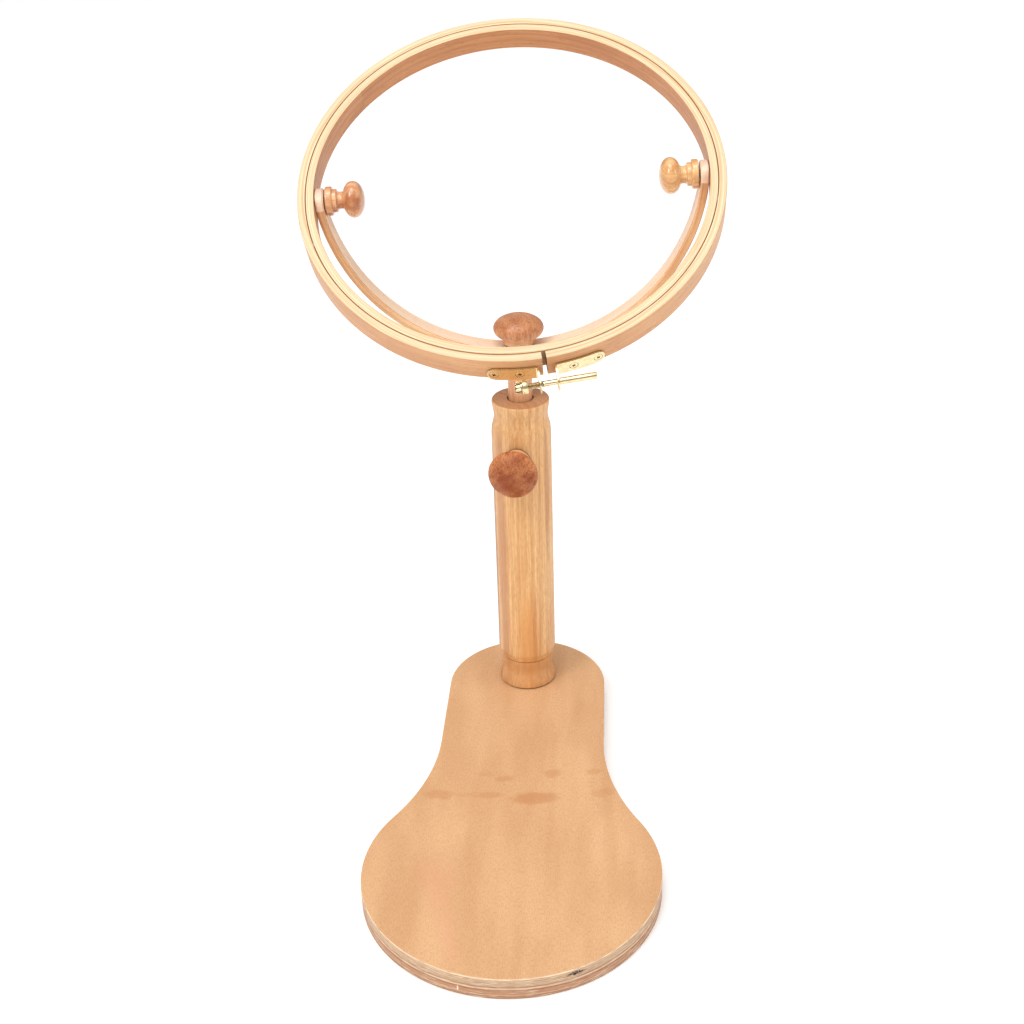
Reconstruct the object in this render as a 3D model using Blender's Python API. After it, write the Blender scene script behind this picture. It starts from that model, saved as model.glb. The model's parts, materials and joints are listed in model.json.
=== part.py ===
"""Embroidery hoop on a stand, for Blender 4.5.

A paddle-shaped plywood board carries a turned column. A rod slides in the column's bore and
a wooden knob clamps it. On the rod's top a bentwood yoke swivels, and the hoop tilts between
the yoke's ends. Units are metres, +Z is up, the user sits on the -Y side, and the origin is
on the board's underside, on the column's axis. Every piece is one object at its rest place.
"""

from math import asin, cos, pi, radians, sin, sqrt

import bmesh
import bpy
from mathutils import Matrix, Vector

MM = 0.001
GAP = 0.3 * MM            # clearance between pieces that touch

# ---- board: a narrow round end under the column, a wide round end towards the user
BOARD_THICKNESS = 15 * MM
BOARD_EDGE_ROUND = 0.8 * MM
NARROW_RADIUS = 55.5 * MM
NARROW_CENTRE_Y = -10 * MM
WIDE_RADIUS = 91.8 * MM
WIDE_CENTRE_Y = -210.3 * MM
WAIST_RADIUS = 157 * MM   # hollow curve that joins the wide end to the straight sides

# ---- column
COLUMN_RADIUS = 20 * MM
COLUMN_HEIGHT = 220 * MM  # above the board
RIM_RADIUS = 19.2 * MM
TOP_WAIST_RADIUS = 18.0 * MM
TOP_WAIST_DEPTH = 11 * MM
TOP_SHOULDER_DEPTH = 23 * MM
FOOT_RADIUS = 19.8 * MM
FOOT_WAIST_RADIUS = 17.4 * MM
FOOT_WAIST_HEIGHT = 13 * MM
FOOT_CREASE_RADII = (18.3 * MM, 18.8 * MM)   # a small step between two curves
FOOT_CREASE_HEIGHT = 22.5 * MM
FOOT_SHOULDER_HEIGHT = 28.5 * MM
BORE_RADIUS = 8.35 * MM
BORE_DEPTH = 190 * MM
COLUMN_SCREW_CIRCLE = 11 * MM
COLUMN_SCREW_COUNT = 3
COLUMN_SCREW_LENGTH = 38 * MM

# ---- sliding rod
ROD_RADIUS = 8 * MM
ROD_LENGTH = 186 * MM

# ---- yoke and hoop pose: the yoke stands slightly swivelled, and leans in its own plane
PIVOT = Vector((-2.0, 0.0, 376.8)) * MM
HEAD_TURN = radians(2.8)
YOKE_LEAN = radians(2.9)
HOOP_TILT = radians(34.7)  # from lying flat

# ---- yoke: a bent strip, one wide arc with a tighter bend near each end
YOKE_THICKNESS = 5 * MM
YOKE_WIDTH = 16.4 * MM
YOKE_RADIUS = 120.3 * MM   # middle of the strip
YOKE_END_RADIUS = 60 * MM
YOKE_HALF_SPAN = 118.9 * MM
YOKE_ARC_RISE = 13.6 * MM  # centre of the wide arc above the pivot axis

# ---- hoop
RING_DEPTH = 16.4 * MM
OUTER_RING_DEPTH = 18 * MM
INNER_RING_RADII = (122.0 * MM, 127.0 * MM)
OUTER_RING_RADII = (127.3 * MM, 132.3 * MM)
RING_EDGE = 0.7 * MM
SPLIT_ANGLE = radians(-83.6)
SPLIT_WIDTH = 2.6 * MM
RING_STEPS = 60

# ---- clamp on the outer ring
PLATE_THICKNESS = 1.0 * MM
PLATE_WIDTH = 11 * MM
PLATE_LENGTH = 30 * MM
EAR_LENGTH = 14.2 * MM
EAR_PLACES = (-4.4 * MM, 6.2 * MM)   # along the tangent, from the split
BRACKET_SCREW_PLACES = (10.7 * MM, 25.9 * MM)   # along the plate, from its ear
CLAMP_OFFSET = -4.4 * MM             # from the inner ring's middle, along the hoop's axis
BOLT_HEIGHT = 9.3 * MM               # above the outer ring
BOLT_THREAD_RADIUS = 2.0 * MM
BOLT_SHANK_RADIUS = 1.65 * MM
BOLT_TAIL_RADIUS = 2.1 * MM
BOLT_ENDS = (-18.2 * MM, 28.8 * MM)
NUT_RADIUS = 4.2 * MM
NUT_ENDS = (-19.2 * MM, -11.8 * MM)

# ---- knobs and their screws
LARGE_KNOB_RADIUS = 16.4 * MM
LARGE_HEAD_HALF = 8.7 * MM           # half the head's height
LARGE_CREASE_RADIUS = 10.6 * MM      # where the neck meets the head
LARGE_HEAD_DROP = 5.9 * MM           # from the head's middle down to the crease
HEIGHT_KNOB_NECK = (9.2 * MM, 14.3 * MM)   # radius at the seat, and length
YOKE_KNOB_NECK = (10.2 * MM, 4.8 * MM)
STUD_RADIUS = 3 * MM
STUD_IN_KNOB = 12 * MM
INSERT_WALL = 1 * MM
HEIGHT_KNOB_Z = 198.2 * MM
HEIGHT_KNOB_TURN = radians(-5)       # from -Y, seen from above
SIDE_KNOB_RADIUS = 11.3 * MM
SIDE_KNOB_LENGTH = 24 * MM
FLANGE_RADIUS = 9 * MM
FLANGE_END = 4.2 * MM
COLLAR_RADIUS = 7.25 * MM
COLLAR_END = 7.1 * MM
SIDE_NECK_RADIUS = 5.35 * MM
SIDE_NECK_END = 10.7 * MM
PIVOT_BOLT_RADIUS = 2.5 * MM
PIVOT_BOLT_IN_KNOB = 11.5 * MM
SIDE_SEAT_CLEARANCE = 1.15 * MM      # a flat flange spans the strip's curve
LARGE_SEAT_CLEARANCE = 1.15 * MM     # and so does the flat neck on the yoke's floor

BOARD_TOP = BOARD_THICKNESS
COLUMN_TOP = BOARD_TOP + COLUMN_HEIGHT
INNER_FACE = YOKE_HALF_SPAN - YOKE_THICKNESS / 2
KNOB_SEAT = INNER_FACE - SIDE_SEAT_CLEARANCE


# ---------------------------------------------------------------- helpers

def clear_scene():
    for thing in list(bpy.data.objects):
        bpy.data.objects.remove(thing, do_unlink=True)


def material(name, color, roughness, metallic=0.0):
    """A Principled material, made once for each name."""
    if name in bpy.data.materials:
        return bpy.data.materials[name]
    made = bpy.data.materials.new(name)
    made.use_nodes = True
    shader = made.node_tree.nodes["Principled BSDF"]
    shader.inputs["Base Color"].default_value = (*color, 1.0)
    shader.inputs["Roughness"].default_value = roughness
    shader.inputs["Metallic"].default_value = metallic
    return made


def beech():
    return material("beech", (0.72, 0.45, 0.22), 0.45)


def pale_beech():
    return material("pale_beech", (0.86, 0.72, 0.48), 0.5)


def plywood():
    return material("plywood", (0.75, 0.48, 0.26), 0.5)


def stained_beech():
    return material("stained_beech", (0.50, 0.24, 0.11), 0.35)


def brass():
    return material("brass", (0.83, 0.66, 0.33), 0.25, 1.0)


def steel():
    return material("steel", (0.6, 0.6, 0.6), 0.3, 1.0)


def add_object(name, mesh_builder, look, place, smooth_angle=radians(35)):
    """Turns a bmesh into one named object with outward normals."""
    bmesh.ops.remove_doubles(mesh_builder, verts=mesh_builder.verts, dist=1e-7)
    bmesh.ops.recalc_face_normals(mesh_builder, faces=mesh_builder.faces)
    mesh = bpy.data.meshes.new(name)
    mesh_builder.to_mesh(mesh)
    mesh_builder.free()
    mesh.shade_smooth()
    mesh.set_sharp_from_angle(angle=smooth_angle)
    mesh.materials.append(look)
    made = bpy.data.objects.new(name, mesh)
    made.matrix_world = place
    bpy.context.collection.objects.link(made)
    return made


def turned(name, profile, look, place, segments=24, closed=False):
    """Turns a profile of (radius, z) points about the local Z axis."""
    build = bmesh.new()
    verts = [build.verts.new((r, 0.0, z)) for r, z in profile]
    pairs = list(zip(verts, verts[1:]))
    if closed:
        pairs.append((verts[-1], verts[0]))
    edges = [build.edges.new(pair) for pair in pairs]
    bmesh.ops.spin(
        build, geom=verts + edges, cent=(0, 0, 0), axis=(0, 0, 1), angle=2 * pi,
        steps=segments, use_merge=True, use_duplicate=False,
    )
    return add_object(name, build, look, place)


def round_end_strip(name, path, thickness, width, end_rounds, look, place, steps=5):
    """A flat strip bent along a path in the local XY plane, with its width along Z.

    end_rounds gives the corner radius at the path's first and last point.
    """
    half = thickness / 2
    left, right = [], []
    for index, point in enumerate(path):
        before = path[max(index - 1, 0)]
        after = path[min(index + 1, len(path) - 1)]
        along = (Vector(after) - Vector(before)).normalized()
        normal = Vector((-along.y, along.x))
        left.append(Vector(point) + normal * half)
        right.append(Vector(point) - normal * half)
    outline = left + right[::-1]
    build = bmesh.new()
    bottom = [build.verts.new((p.x, p.y, -width / 2)) for p in outline]
    face = build.faces.new(bottom)
    swept = bmesh.ops.extrude_face_region(build, geom=[face])["geom"]
    top = [item for item in swept if isinstance(item, bmesh.types.BMVert)]
    bmesh.ops.translate(build, verts=top, vec=(0, 0, width))
    for (a, b), radius in zip(((left[0], right[0]), (left[-1], right[-1])), end_rounds):
        corner_edges = [
            edge for edge in build.edges
            if {round_key(v.co.xy) for v in edge.verts} == {round_key(a), round_key(b)}
        ]
        bmesh.ops.bevel(
            build, geom=corner_edges, offset=radius, segments=steps, profile=0.5,
            affect="EDGES",
        )
    bmesh.ops.triangulate(build, faces=[f for f in build.faces if len(f.verts) > 4])
    return add_object(name, build, look, place)


def round_key(point):
    return (round(point.x, 6), round(point.y, 6))


def helper(thing):
    thing.hide_render = True
    thing.display_type = "WIRE"
    return thing


def cut(thing, cutter):
    """Cuts one object with a helper object by a Boolean."""
    step = thing.modifiers.new("cut_" + cutter.name, "BOOLEAN")
    step.operation = "DIFFERENCE"
    step.solver = "EXACT"
    step.object = cutter


def cylinder_cutter(name, radius, start, end, place, segments=20):
    profile = [(0, end), (radius, end), (radius, start), (0, start)]
    return helper(turned(name, profile, brass(), place, segments))


def arc(centre, radius, start, end, steps):
    """Points on an arc in a plane, from the start angle to the end angle."""
    return [
        (centre[0] + radius * cos(start + (end - start) * k / steps),
         centre[1] + radius * sin(start + (end - start) * k / steps))
        for k in range(steps + 1)
    ]


def ease(start, end, steps):
    """A smooth S-curve between two (radius, z) points, without its first point."""
    points = []
    for k in range(1, steps + 1):
        part = k / steps
        blend = (1 - cos(pi * part)) / 2
        points.append((start[0] + (end[0] - start[0]) * blend,
                       start[1] + (end[1] - start[1]) * part))
    return points


def ring_section(inner, outer, low, high, edge):
    """A rectangular section with its four corners cut."""
    return [
        (inner, low + edge), (inner + edge, low), (outer - edge, low), (outer, low + edge),
        (outer, high - edge), (outer - edge, high), (inner + edge, high), (inner, high - edge),
    ]


# ---------------------------------------------------------------- frames

YOKE_FRAME = (
    Matrix.Translation(PIVOT) @ Matrix.Rotation(HEAD_TURN, 4, "Z")
    @ Matrix.Rotation(-YOKE_LEAN, 4, "Y")
)
HOOP_FRAME = YOKE_FRAME @ Matrix.Rotation(HOOP_TILT, 4, "X")
ALONG_X = {-1: Matrix.Rotation(pi / 2, 4, "Y"), 1: Matrix.Rotation(-pi / 2, 4, "Y")}


def inward_frame(side):
    """At a yoke end on the pivot axis, with +Z pointing to the hoop's middle."""
    return HOOP_FRAME @ Matrix.Translation((side * KNOB_SEAT, 0, 0)) @ ALONG_X[side]


def clamp_frame():
    """At the split: X along the tangent, Y outwards, Z along the hoop's axis."""
    turn = Matrix.Rotation(SPLIT_ANGLE - pi / 2, 4, "Z")
    return (
        HOOP_FRAME @ turn @ Matrix.Rotation(pi, 4, "Y")
        @ Matrix.Translation((0, OUTER_RING_RADII[1], -CLAMP_OFFSET))
    )


def bolt_frame():
    """On the tension bolt's axis, with +Z from the nut to the bolt's tail."""
    turn = Matrix.Rotation(SPLIT_ANGLE, 4, "Z")
    place = Matrix.Translation((OUTER_RING_RADII[1] + BOLT_HEIGHT, 0, CLAMP_OFFSET))
    return HOOP_FRAME @ turn @ place @ Matrix.Rotation(-pi / 2, 4, "X")


def height_knob_frame():
    """On the column's surface, with +Z pointing outwards through the knob."""
    turn = Matrix.Rotation(HEIGHT_KNOB_TURN, 4, "Z")
    place = Matrix.Translation((0, -COLUMN_RADIUS - GAP, HEIGHT_KNOB_Z))
    return turn @ place @ Matrix.Rotation(pi / 2, 4, "X")


def yoke_floor():
    """Height of the yoke's inner and outer face where it crosses the column's axis."""
    centre = YOKE_FRAME @ Vector((0, 0, YOKE_ARC_RISE))
    inner = sqrt((YOKE_RADIUS - YOKE_THICKNESS / 2) ** 2 - centre.x ** 2)
    outer = sqrt((YOKE_RADIUS + YOKE_THICKNESS / 2) ** 2 - centre.x ** 2)
    return centre.z - inner, centre.z - outer


YOKE_SEAT_Z, YOKE_UNDERSIDE_Z = yoke_floor()
ROD_TOP = YOKE_UNDERSIDE_Z - GAP


# ---------------------------------------------------------------- stand

def board_outline():
    reach = WIDE_RADIUS + WAIST_RADIUS
    side = NARROW_RADIUS + WAIST_RADIUS
    waist_y = WIDE_CENTRE_Y + sqrt(reach ** 2 - side ** 2)
    meet = asin((waist_y - WIDE_CENTRE_Y) / reach)   # direction of the waist's centre
    right = arc((0, WIDE_CENTRE_Y), WIDE_RADIUS, -pi / 2, meet, 16)
    right += arc((side, waist_y), WAIST_RADIUS, pi + meet, pi, 10)[1:]
    right += arc((0, NARROW_CENTRE_Y), NARROW_RADIUS, 0, pi / 2, 10)
    left = [(-x, y) for x, y in right[-2:0:-1]]
    return right + left


def make_board():
    build = bmesh.new()
    verts = [build.verts.new((x, y, 0)) for x, y in board_outline()]
    face = build.faces.new(verts)
    swept = bmesh.ops.extrude_face_region(build, geom=[face])["geom"]
    top = [item for item in swept if isinstance(item, bmesh.types.BMVert)]
    bmesh.ops.translate(build, verts=top, vec=(0, 0, BOARD_THICKNESS))
    rims = [e for e in build.edges if abs(e.verts[0].co.z - e.verts[1].co.z) < 1e-6]
    bmesh.ops.bevel(
        build, geom=rims, offset=BOARD_EDGE_ROUND, segments=1, affect="EDGES",
    )
    return add_object("base_board", build, plywood(), Matrix())


def make_column():
    foot = BOARD_TOP + GAP
    waist = BOARD_TOP + FOOT_WAIST_HEIGHT
    crease = BOARD_TOP + FOOT_CREASE_HEIGHT
    shoulder = BOARD_TOP + FOOT_SHOULDER_HEIGHT
    top = COLUMN_TOP
    lip = 0.5 * MM
    profile = [(0, top - BORE_DEPTH), (BORE_RADIUS, top - BORE_DEPTH)]
    profile += [(BORE_RADIUS, top - lip), (BORE_RADIUS + lip, top)]
    profile += [(RIM_RADIUS - lip, top), (RIM_RADIUS, top - lip)]
    profile += ease((RIM_RADIUS, top - lip), (TOP_WAIST_RADIUS, top - TOP_WAIST_DEPTH), 4)
    profile += ease(profile[-1], (COLUMN_RADIUS, top - TOP_SHOULDER_DEPTH), 4)
    profile += [(COLUMN_RADIUS, shoulder)]
    profile += ease(profile[-1], (FOOT_CREASE_RADII[1], crease), 2)
    profile += [(FOOT_CREASE_RADII[0], crease - lip)]
    profile += ease(profile[-1], (FOOT_WAIST_RADIUS, waist), 2)
    profile += ease(profile[-1], (FOOT_RADIUS, foot), 4)
    profile += [(0, foot)]
    return turned("column", profile, beech(), Matrix(), 32)


def countersunk(head_radius, shank_radius, head_depth, length, grow=0.0):
    """A countersunk screw's profile: its head's face at z = 0, its tip at z = -length."""
    head = head_radius + grow
    shank = shank_radius + grow
    return [
        (0, grow), (head, grow), (head, -0.3 * MM), (shank, -head_depth - grow),
        (shank, -length - grow), (0, -length - grow),
    ]


def make_column_screws(board, column):
    sizes = (4 * MM, 2 * MM, 2.8 * MM, COLUMN_SCREW_LENGTH)
    for index in range(COLUMN_SCREW_COUNT):
        angle = 2 * pi * index / COLUMN_SCREW_COUNT + pi / 2
        across = (COLUMN_SCREW_CIRCLE * cos(angle), COLUMN_SCREW_CIRCLE * sin(angle))
        place = Matrix.Translation((*across, 0.5 * MM)) @ Matrix.Rotation(pi, 4, "X")
        name = f"column_screw_{index + 1}"
        turned(name, countersunk(*sizes), steel(), place, 16)
        hole = countersunk(*sizes, grow=GAP)
        hole[0:2] = [(0, 1 * MM), (hole[1][0], 1 * MM)]
        cutter = helper(turned(name + "_hole", hole, steel(), place, 16))
        cut(board, cutter)
        cut(column, cutter)


def insert(name, place, outer, inner, start, end):
    """A threaded bush, plain inside, along the local Z axis."""
    edge = 0.3 * MM
    profile = ring_section(inner, outer, start, end, edge)
    return turned(name, profile, brass(), place, 16, closed=True)


def large_knob(name, place, neck):
    """A mushroom knob: a hollow-sided neck on its seat, then a domed head."""
    seat_radius, neck_length = neck
    edge = 0.5 * MM
    middle = neck_length + LARGE_HEAD_DROP
    start = -asin(LARGE_HEAD_DROP / LARGE_HEAD_HALF)
    hole = STUD_RADIUS + GAP
    profile = [(0, STUD_IN_KNOB + GAP), (hole, STUD_IN_KNOB + GAP), (hole, 0)]
    profile += [(seat_radius - edge, 0), (seat_radius, edge)]
    profile += ease(profile[-1], (LARGE_CREASE_RADIUS, neck_length), 3)
    for k in range(8):
        angle = start + (pi / 2 - start) * k / 7
        profile.append((LARGE_KNOB_RADIUS * cos(angle), middle + LARGE_HEAD_HALF * sin(angle)))
    profile[-1] = (0, middle + LARGE_HEAD_HALF)
    return turned(name, profile, stained_beech(), place, 24)


def stud(name, place, tip):
    """A headless screw from inside a knob to its tip at z = -tip."""
    edge = 0.5 * MM
    profile = [
        (0, STUD_IN_KNOB), (STUD_RADIUS - edge, STUD_IN_KNOB),
        (STUD_RADIUS, STUD_IN_KNOB - edge), (STUD_RADIUS, -tip + edge),
        (STUD_RADIUS - edge, -tip), (0, -tip),
    ]
    return turned(name, profile, steel(), place, 16)


def make_height_knob(column):
    place = height_knob_frame()
    wall_depth = COLUMN_RADIUS - BORE_RADIUS
    inner = STUD_RADIUS + GAP
    outer = inner + INSERT_WALL
    large_knob("height_knob", place, HEIGHT_KNOB_NECK)
    stud("height_knob_stud", place, COLUMN_RADIUS - ROD_RADIUS)
    insert("column_insert", place, outer, inner, -wall_depth, -1.2 * MM)
    depth = wall_depth + 4 * MM
    cut(column, cylinder_cutter("column_wall_hole", outer + GAP, -depth, 5 * MM, place))


def make_rod():
    edge = 1 * MM
    inner = STUD_RADIUS + GAP
    outer = inner + INSERT_WALL
    depth = 16 * MM
    low = ROD_TOP - ROD_LENGTH
    hole = outer + GAP
    profile = [
        (0, ROD_TOP - depth), (hole, ROD_TOP - depth), (hole, ROD_TOP),
        (ROD_RADIUS - edge, ROD_TOP), (ROD_RADIUS, ROD_TOP - edge),
        (ROD_RADIUS, low + edge), (ROD_RADIUS - edge, low), (0, low),
    ]
    turned("slide_rod", profile, beech(), Matrix(), 28)
    insert("rod_insert", Matrix(), outer, inner, ROD_TOP - depth + GAP, ROD_TOP - 0.5 * MM)


# ---------------------------------------------------------------- yoke

def yoke_path():
    """The strip's middle line in the yoke's own plane, from one end to the other."""
    centre = (0, YOKE_ARC_RISE)
    spread = asin((YOKE_HALF_SPAN - YOKE_END_RADIUS) / (YOKE_RADIUS - YOKE_END_RADIUS))
    shift = YOKE_RADIUS - YOKE_END_RADIUS
    end_centre = (shift * sin(spread), YOKE_ARC_RISE - shift * cos(spread))
    right = arc(centre, YOKE_RADIUS, -pi / 2, spread - pi / 2, 16)
    right += arc(end_centre, YOKE_END_RADIUS, spread - pi / 2, 0, 3)[1:]
    right += [(YOKE_HALF_SPAN, YOKE_WIDTH / 2)]
    left = [(-x, y) for x, y in right[:0:-1]]
    return left + right


def make_yoke():
    round_end = YOKE_WIDTH / 2 - 0.1 * MM
    upright = Matrix.Rotation(pi / 2, 4, "X")
    yoke = round_end_strip(
        "yoke", yoke_path(), YOKE_THICKNESS, YOKE_WIDTH, (round_end, round_end),
        beech(), YOKE_FRAME @ upright,
    )
    for side, label in ((-1, "left"), (1, "right")):
        hole = cylinder_cutter(
            f"yoke_hole_{label}", PIVOT_BOLT_RADIUS + GAP, -8 * MM, 4 * MM, inward_frame(side),
        )
        cut(yoke, hole)
    seat = Matrix.Translation((0, 0, YOKE_SEAT_Z + GAP))
    cut(yoke, cylinder_cutter("yoke_hole_middle", STUD_RADIUS + GAP, -9 * MM, 3 * MM, seat))


def make_yoke_knob():
    place = Matrix.Translation((0, 0, YOKE_SEAT_Z + LARGE_SEAT_CLEARANCE))
    large_knob("yoke_knob", place, YOKE_KNOB_NECK)
    stud("yoke_knob_stud", place, 19 * MM)


# ---------------------------------------------------------------- hoop

def make_inner_hoop():
    half = RING_DEPTH / 2
    profile = ring_section(*INNER_RING_RADII, -half, half, RING_EDGE)
    ring = turned("inner_hoop", profile, pale_beech(), HOOP_FRAME, RING_STEPS, closed=True)
    head = INNER_RING_RADII[1] - 0.4 * MM - KNOB_SEAT   # head's face, behind the knob's seat
    length = head + PIVOT_BOLT_IN_KNOB
    sizes = (4.2 * MM, PIVOT_BOLT_RADIUS, 2.4 * MM, length)
    for side, label in ((-1, "left"), (1, "right")):
        outward = inward_frame(side) @ Matrix.Rotation(pi, 4, "X")
        place = outward @ Matrix.Translation((0, 0, head))
        turned(f"pivot_bolt_{label}", countersunk(*sizes), steel(), place, 16)
        hole = countersunk(*sizes, grow=GAP)
        hole[0:2] = [(0, 2 * MM), (hole[1][0], 2 * MM)]
        cut(ring, helper(turned(f"ring_hole_{label}", hole, steel(), place, 16)))


def side_knob_profile():
    """Flange on the seat, a smaller collar, a hollow neck and a flattened ball."""
    edge = 0.6 * MM
    hole = PIVOT_BOLT_RADIUS + 2 * GAP + INSERT_WALL
    depth = PIVOT_BOLT_IN_KNOB + 1.5 * MM
    half = (SIDE_KNOB_LENGTH - SIDE_NECK_END) / 2
    middle = SIDE_NECK_END + half
    profile = [(0, depth), (hole, depth), (hole, 0)]
    profile += [(FLANGE_RADIUS - edge, 0), (FLANGE_RADIUS, edge)]
    profile += [(FLANGE_RADIUS, FLANGE_END - edge), (FLANGE_RADIUS - edge, FLANGE_END)]
    profile += [(COLLAR_RADIUS, FLANGE_END), (COLLAR_RADIUS, COLLAR_END - edge)]
    profile += [(COLLAR_RADIUS - edge, COLLAR_END), (SIDE_NECK_RADIUS + edge, COLLAR_END)]
    profile += [(SIDE_NECK_RADIUS, COLLAR_END + edge)]
    start = -asin(cos(asin(SIDE_NECK_RADIUS / SIDE_KNOB_RADIUS)))
    for k in range(8):
        angle = start + (pi / 2 - start) * k / 7
        profile.append((SIDE_KNOB_RADIUS * cos(angle), middle + half * sin(angle)))
    profile[-1] = (0, SIDE_KNOB_LENGTH)
    return profile


def make_side_knobs():
    inner = PIVOT_BOLT_RADIUS + GAP
    for side, label in ((-1, "left"), (1, "right")):
        place = inward_frame(side)
        turned(f"side_knob_{label}", side_knob_profile(), stained_beech(), place, 20)
        insert(
            f"side_knob_insert_{label}", place, inner + INSERT_WALL, inner,
            0.3 * MM, PIVOT_BOLT_IN_KNOB + 0.8 * MM,
        )


def make_outer_hoop():
    high = RING_DEPTH / 2
    section = ring_section(*OUTER_RING_RADII, high - OUTER_RING_DEPTH, high, RING_EDGE)
    half_split = SPLIT_WIDTH / 2 / OUTER_RING_RADII[1]
    build = bmesh.new()
    verts = [build.verts.new((r, 0.0, z)) for r, z in section]
    start = Matrix.Rotation(SPLIT_ANGLE + half_split, 4, "Z")
    bmesh.ops.transform(build, verts=verts, matrix=start)
    edges = [build.edges.new(pair) for pair in zip(verts, verts[1:] + verts[:1])]
    spun = bmesh.ops.spin(
        build, geom=verts + edges, cent=(0, 0, 0), axis=(0, 0, 1),
        angle=2 * (pi - half_split), steps=RING_STEPS, use_duplicate=False,
    )
    last = [item for item in spun["geom_last"] if isinstance(item, bmesh.types.BMEdge)]
    for rim in (edges, last):
        bmesh.ops.contextual_create(build, geom=rim)
    return add_object("outer_hoop", build, pale_beech(), HOOP_FRAME)


def bracket_path(side, ear):
    """Middle line of a bracket: its plate follows the ring, and its ear stands outwards."""
    bend = 1.6 * MM
    plate_radius = OUTER_RING_RADII[1] + GAP + PLATE_THICKNESS / 2
    far_angle = (ear + side * PLATE_LENGTH) / plate_radius
    near_angle = (ear + side * bend) / plate_radius
    plate = []
    for k in range(7):
        angle = far_angle + (near_angle - far_angle) * k / 6
        plate.append((plate_radius * sin(angle),
                      plate_radius * cos(angle) - OUTER_RING_RADII[1]))
    low = plate[-1][1]
    bend_centre = (ear + side * bend, low + bend)
    bend_end = -pi if side > 0 else 0
    return plate + arc(bend_centre, bend, -pi / 2, bend_end, 4)[1:] + [(ear, EAR_LENGTH)]


def make_clamp(ring):
    place = clamp_frame()
    bolt_place = bolt_frame()
    sizes = (2.5 * MM, 1.2 * MM, 1.6 * MM, 5 * MM)
    ear_holes = (BOLT_THREAD_RADIUS + GAP, BOLT_SHANK_RADIUS + GAP)
    count = 0
    for side, label, ear, hole in zip((-1, 1), ("left", "right"), EAR_PLACES, ear_holes):
        bracket = round_end_strip(
            f"bracket_{label}", bracket_path(side, ear), PLATE_THICKNESS, PLATE_WIDTH,
            (PLATE_WIDTH / 2 - 0.1 * MM, 4.5 * MM), brass(), place,
        )
        through = bolt_place @ Matrix.Translation((0, 0, ear))
        cut(bracket, cylinder_cutter(f"ear_hole_{label}", hole, -3 * MM, 3 * MM, through))
        for along in BRACKET_SCREW_PLACES:
            count += 1
            name = f"bracket_screw_{count}"
            plate_radius = OUTER_RING_RADII[1] + GAP + PLATE_THICKNESS
            angle = (ear + side * along) / plate_radius
            spot = (
                HOOP_FRAME @ Matrix.Rotation(SPLIT_ANGLE + angle, 4, "Z")
                @ Matrix.Translation((plate_radius, 0, CLAMP_OFFSET))
                @ Matrix.Rotation(pi / 2, 4, "Y")
            )
            turned(name, countersunk(*sizes), brass(), spot, 12)
            hole_shape = countersunk(*sizes, grow=GAP)
            hole_shape[0:2] = [(0, 1 * MM), (hole_shape[1][0], 1 * MM)]
            cutter = helper(turned(name + "_hole", hole_shape, brass(), spot, 12))
            cut(bracket, cutter)
            cut(ring, cutter)


def make_tension_bolt():
    place = bolt_frame()
    edge = 0.3 * MM
    start, end = BOLT_ENDS
    left_ear, right_ear = EAR_PLACES
    thread_end = left_ear + 1.5 * MM
    shoulder = right_ear + PLATE_THICKNESS / 2 + GAP
    profile = [
        (0, end), (BOLT_TAIL_RADIUS - edge, end), (BOLT_TAIL_RADIUS, end - edge),
        (BOLT_TAIL_RADIUS, shoulder), (BOLT_SHANK_RADIUS, shoulder),
        (BOLT_SHANK_RADIUS, thread_end), (BOLT_THREAD_RADIUS, thread_end - edge),
        (BOLT_THREAD_RADIUS, start + edge), (BOLT_THREAD_RADIUS - edge, start), (0, start),
    ]
    turned("tension_bolt", profile, brass(), place, 16)
    section = ring_section(BOLT_THREAD_RADIUS + GAP, NUT_RADIUS, *NUT_ENDS, 0.5 * MM)
    turned("tension_nut", section, brass(), place, 16, closed=True)


def main():
    clear_scene()
    board = make_board()
    column = make_column()
    make_column_screws(board, column)
    make_height_knob(column)
    make_rod()
    make_yoke()
    make_yoke_knob()
    make_inner_hoop()
    make_side_knobs()
    ring = make_outer_hoop()
    make_clamp(ring)
    make_tension_bolt()


main()
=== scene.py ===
"""Looks of the embroidery hoop on its stand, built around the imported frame.

A piece is modelled in a local frame of its own, set where its CAD node is, and it rides on
that node's body. Sizes are millimetres until an object is made. Every mesh stores the place
of each corner in the wood as the attribute "grain", in millimetres with Z along the fibres,
so that the pattern follows a bend and moves with the piece.
"""

import json
from math import acos, asin, atan2, cos, pi, radians, sin, sqrt

import bmesh
import bpy
from mathutils import Matrix, Vector


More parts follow.
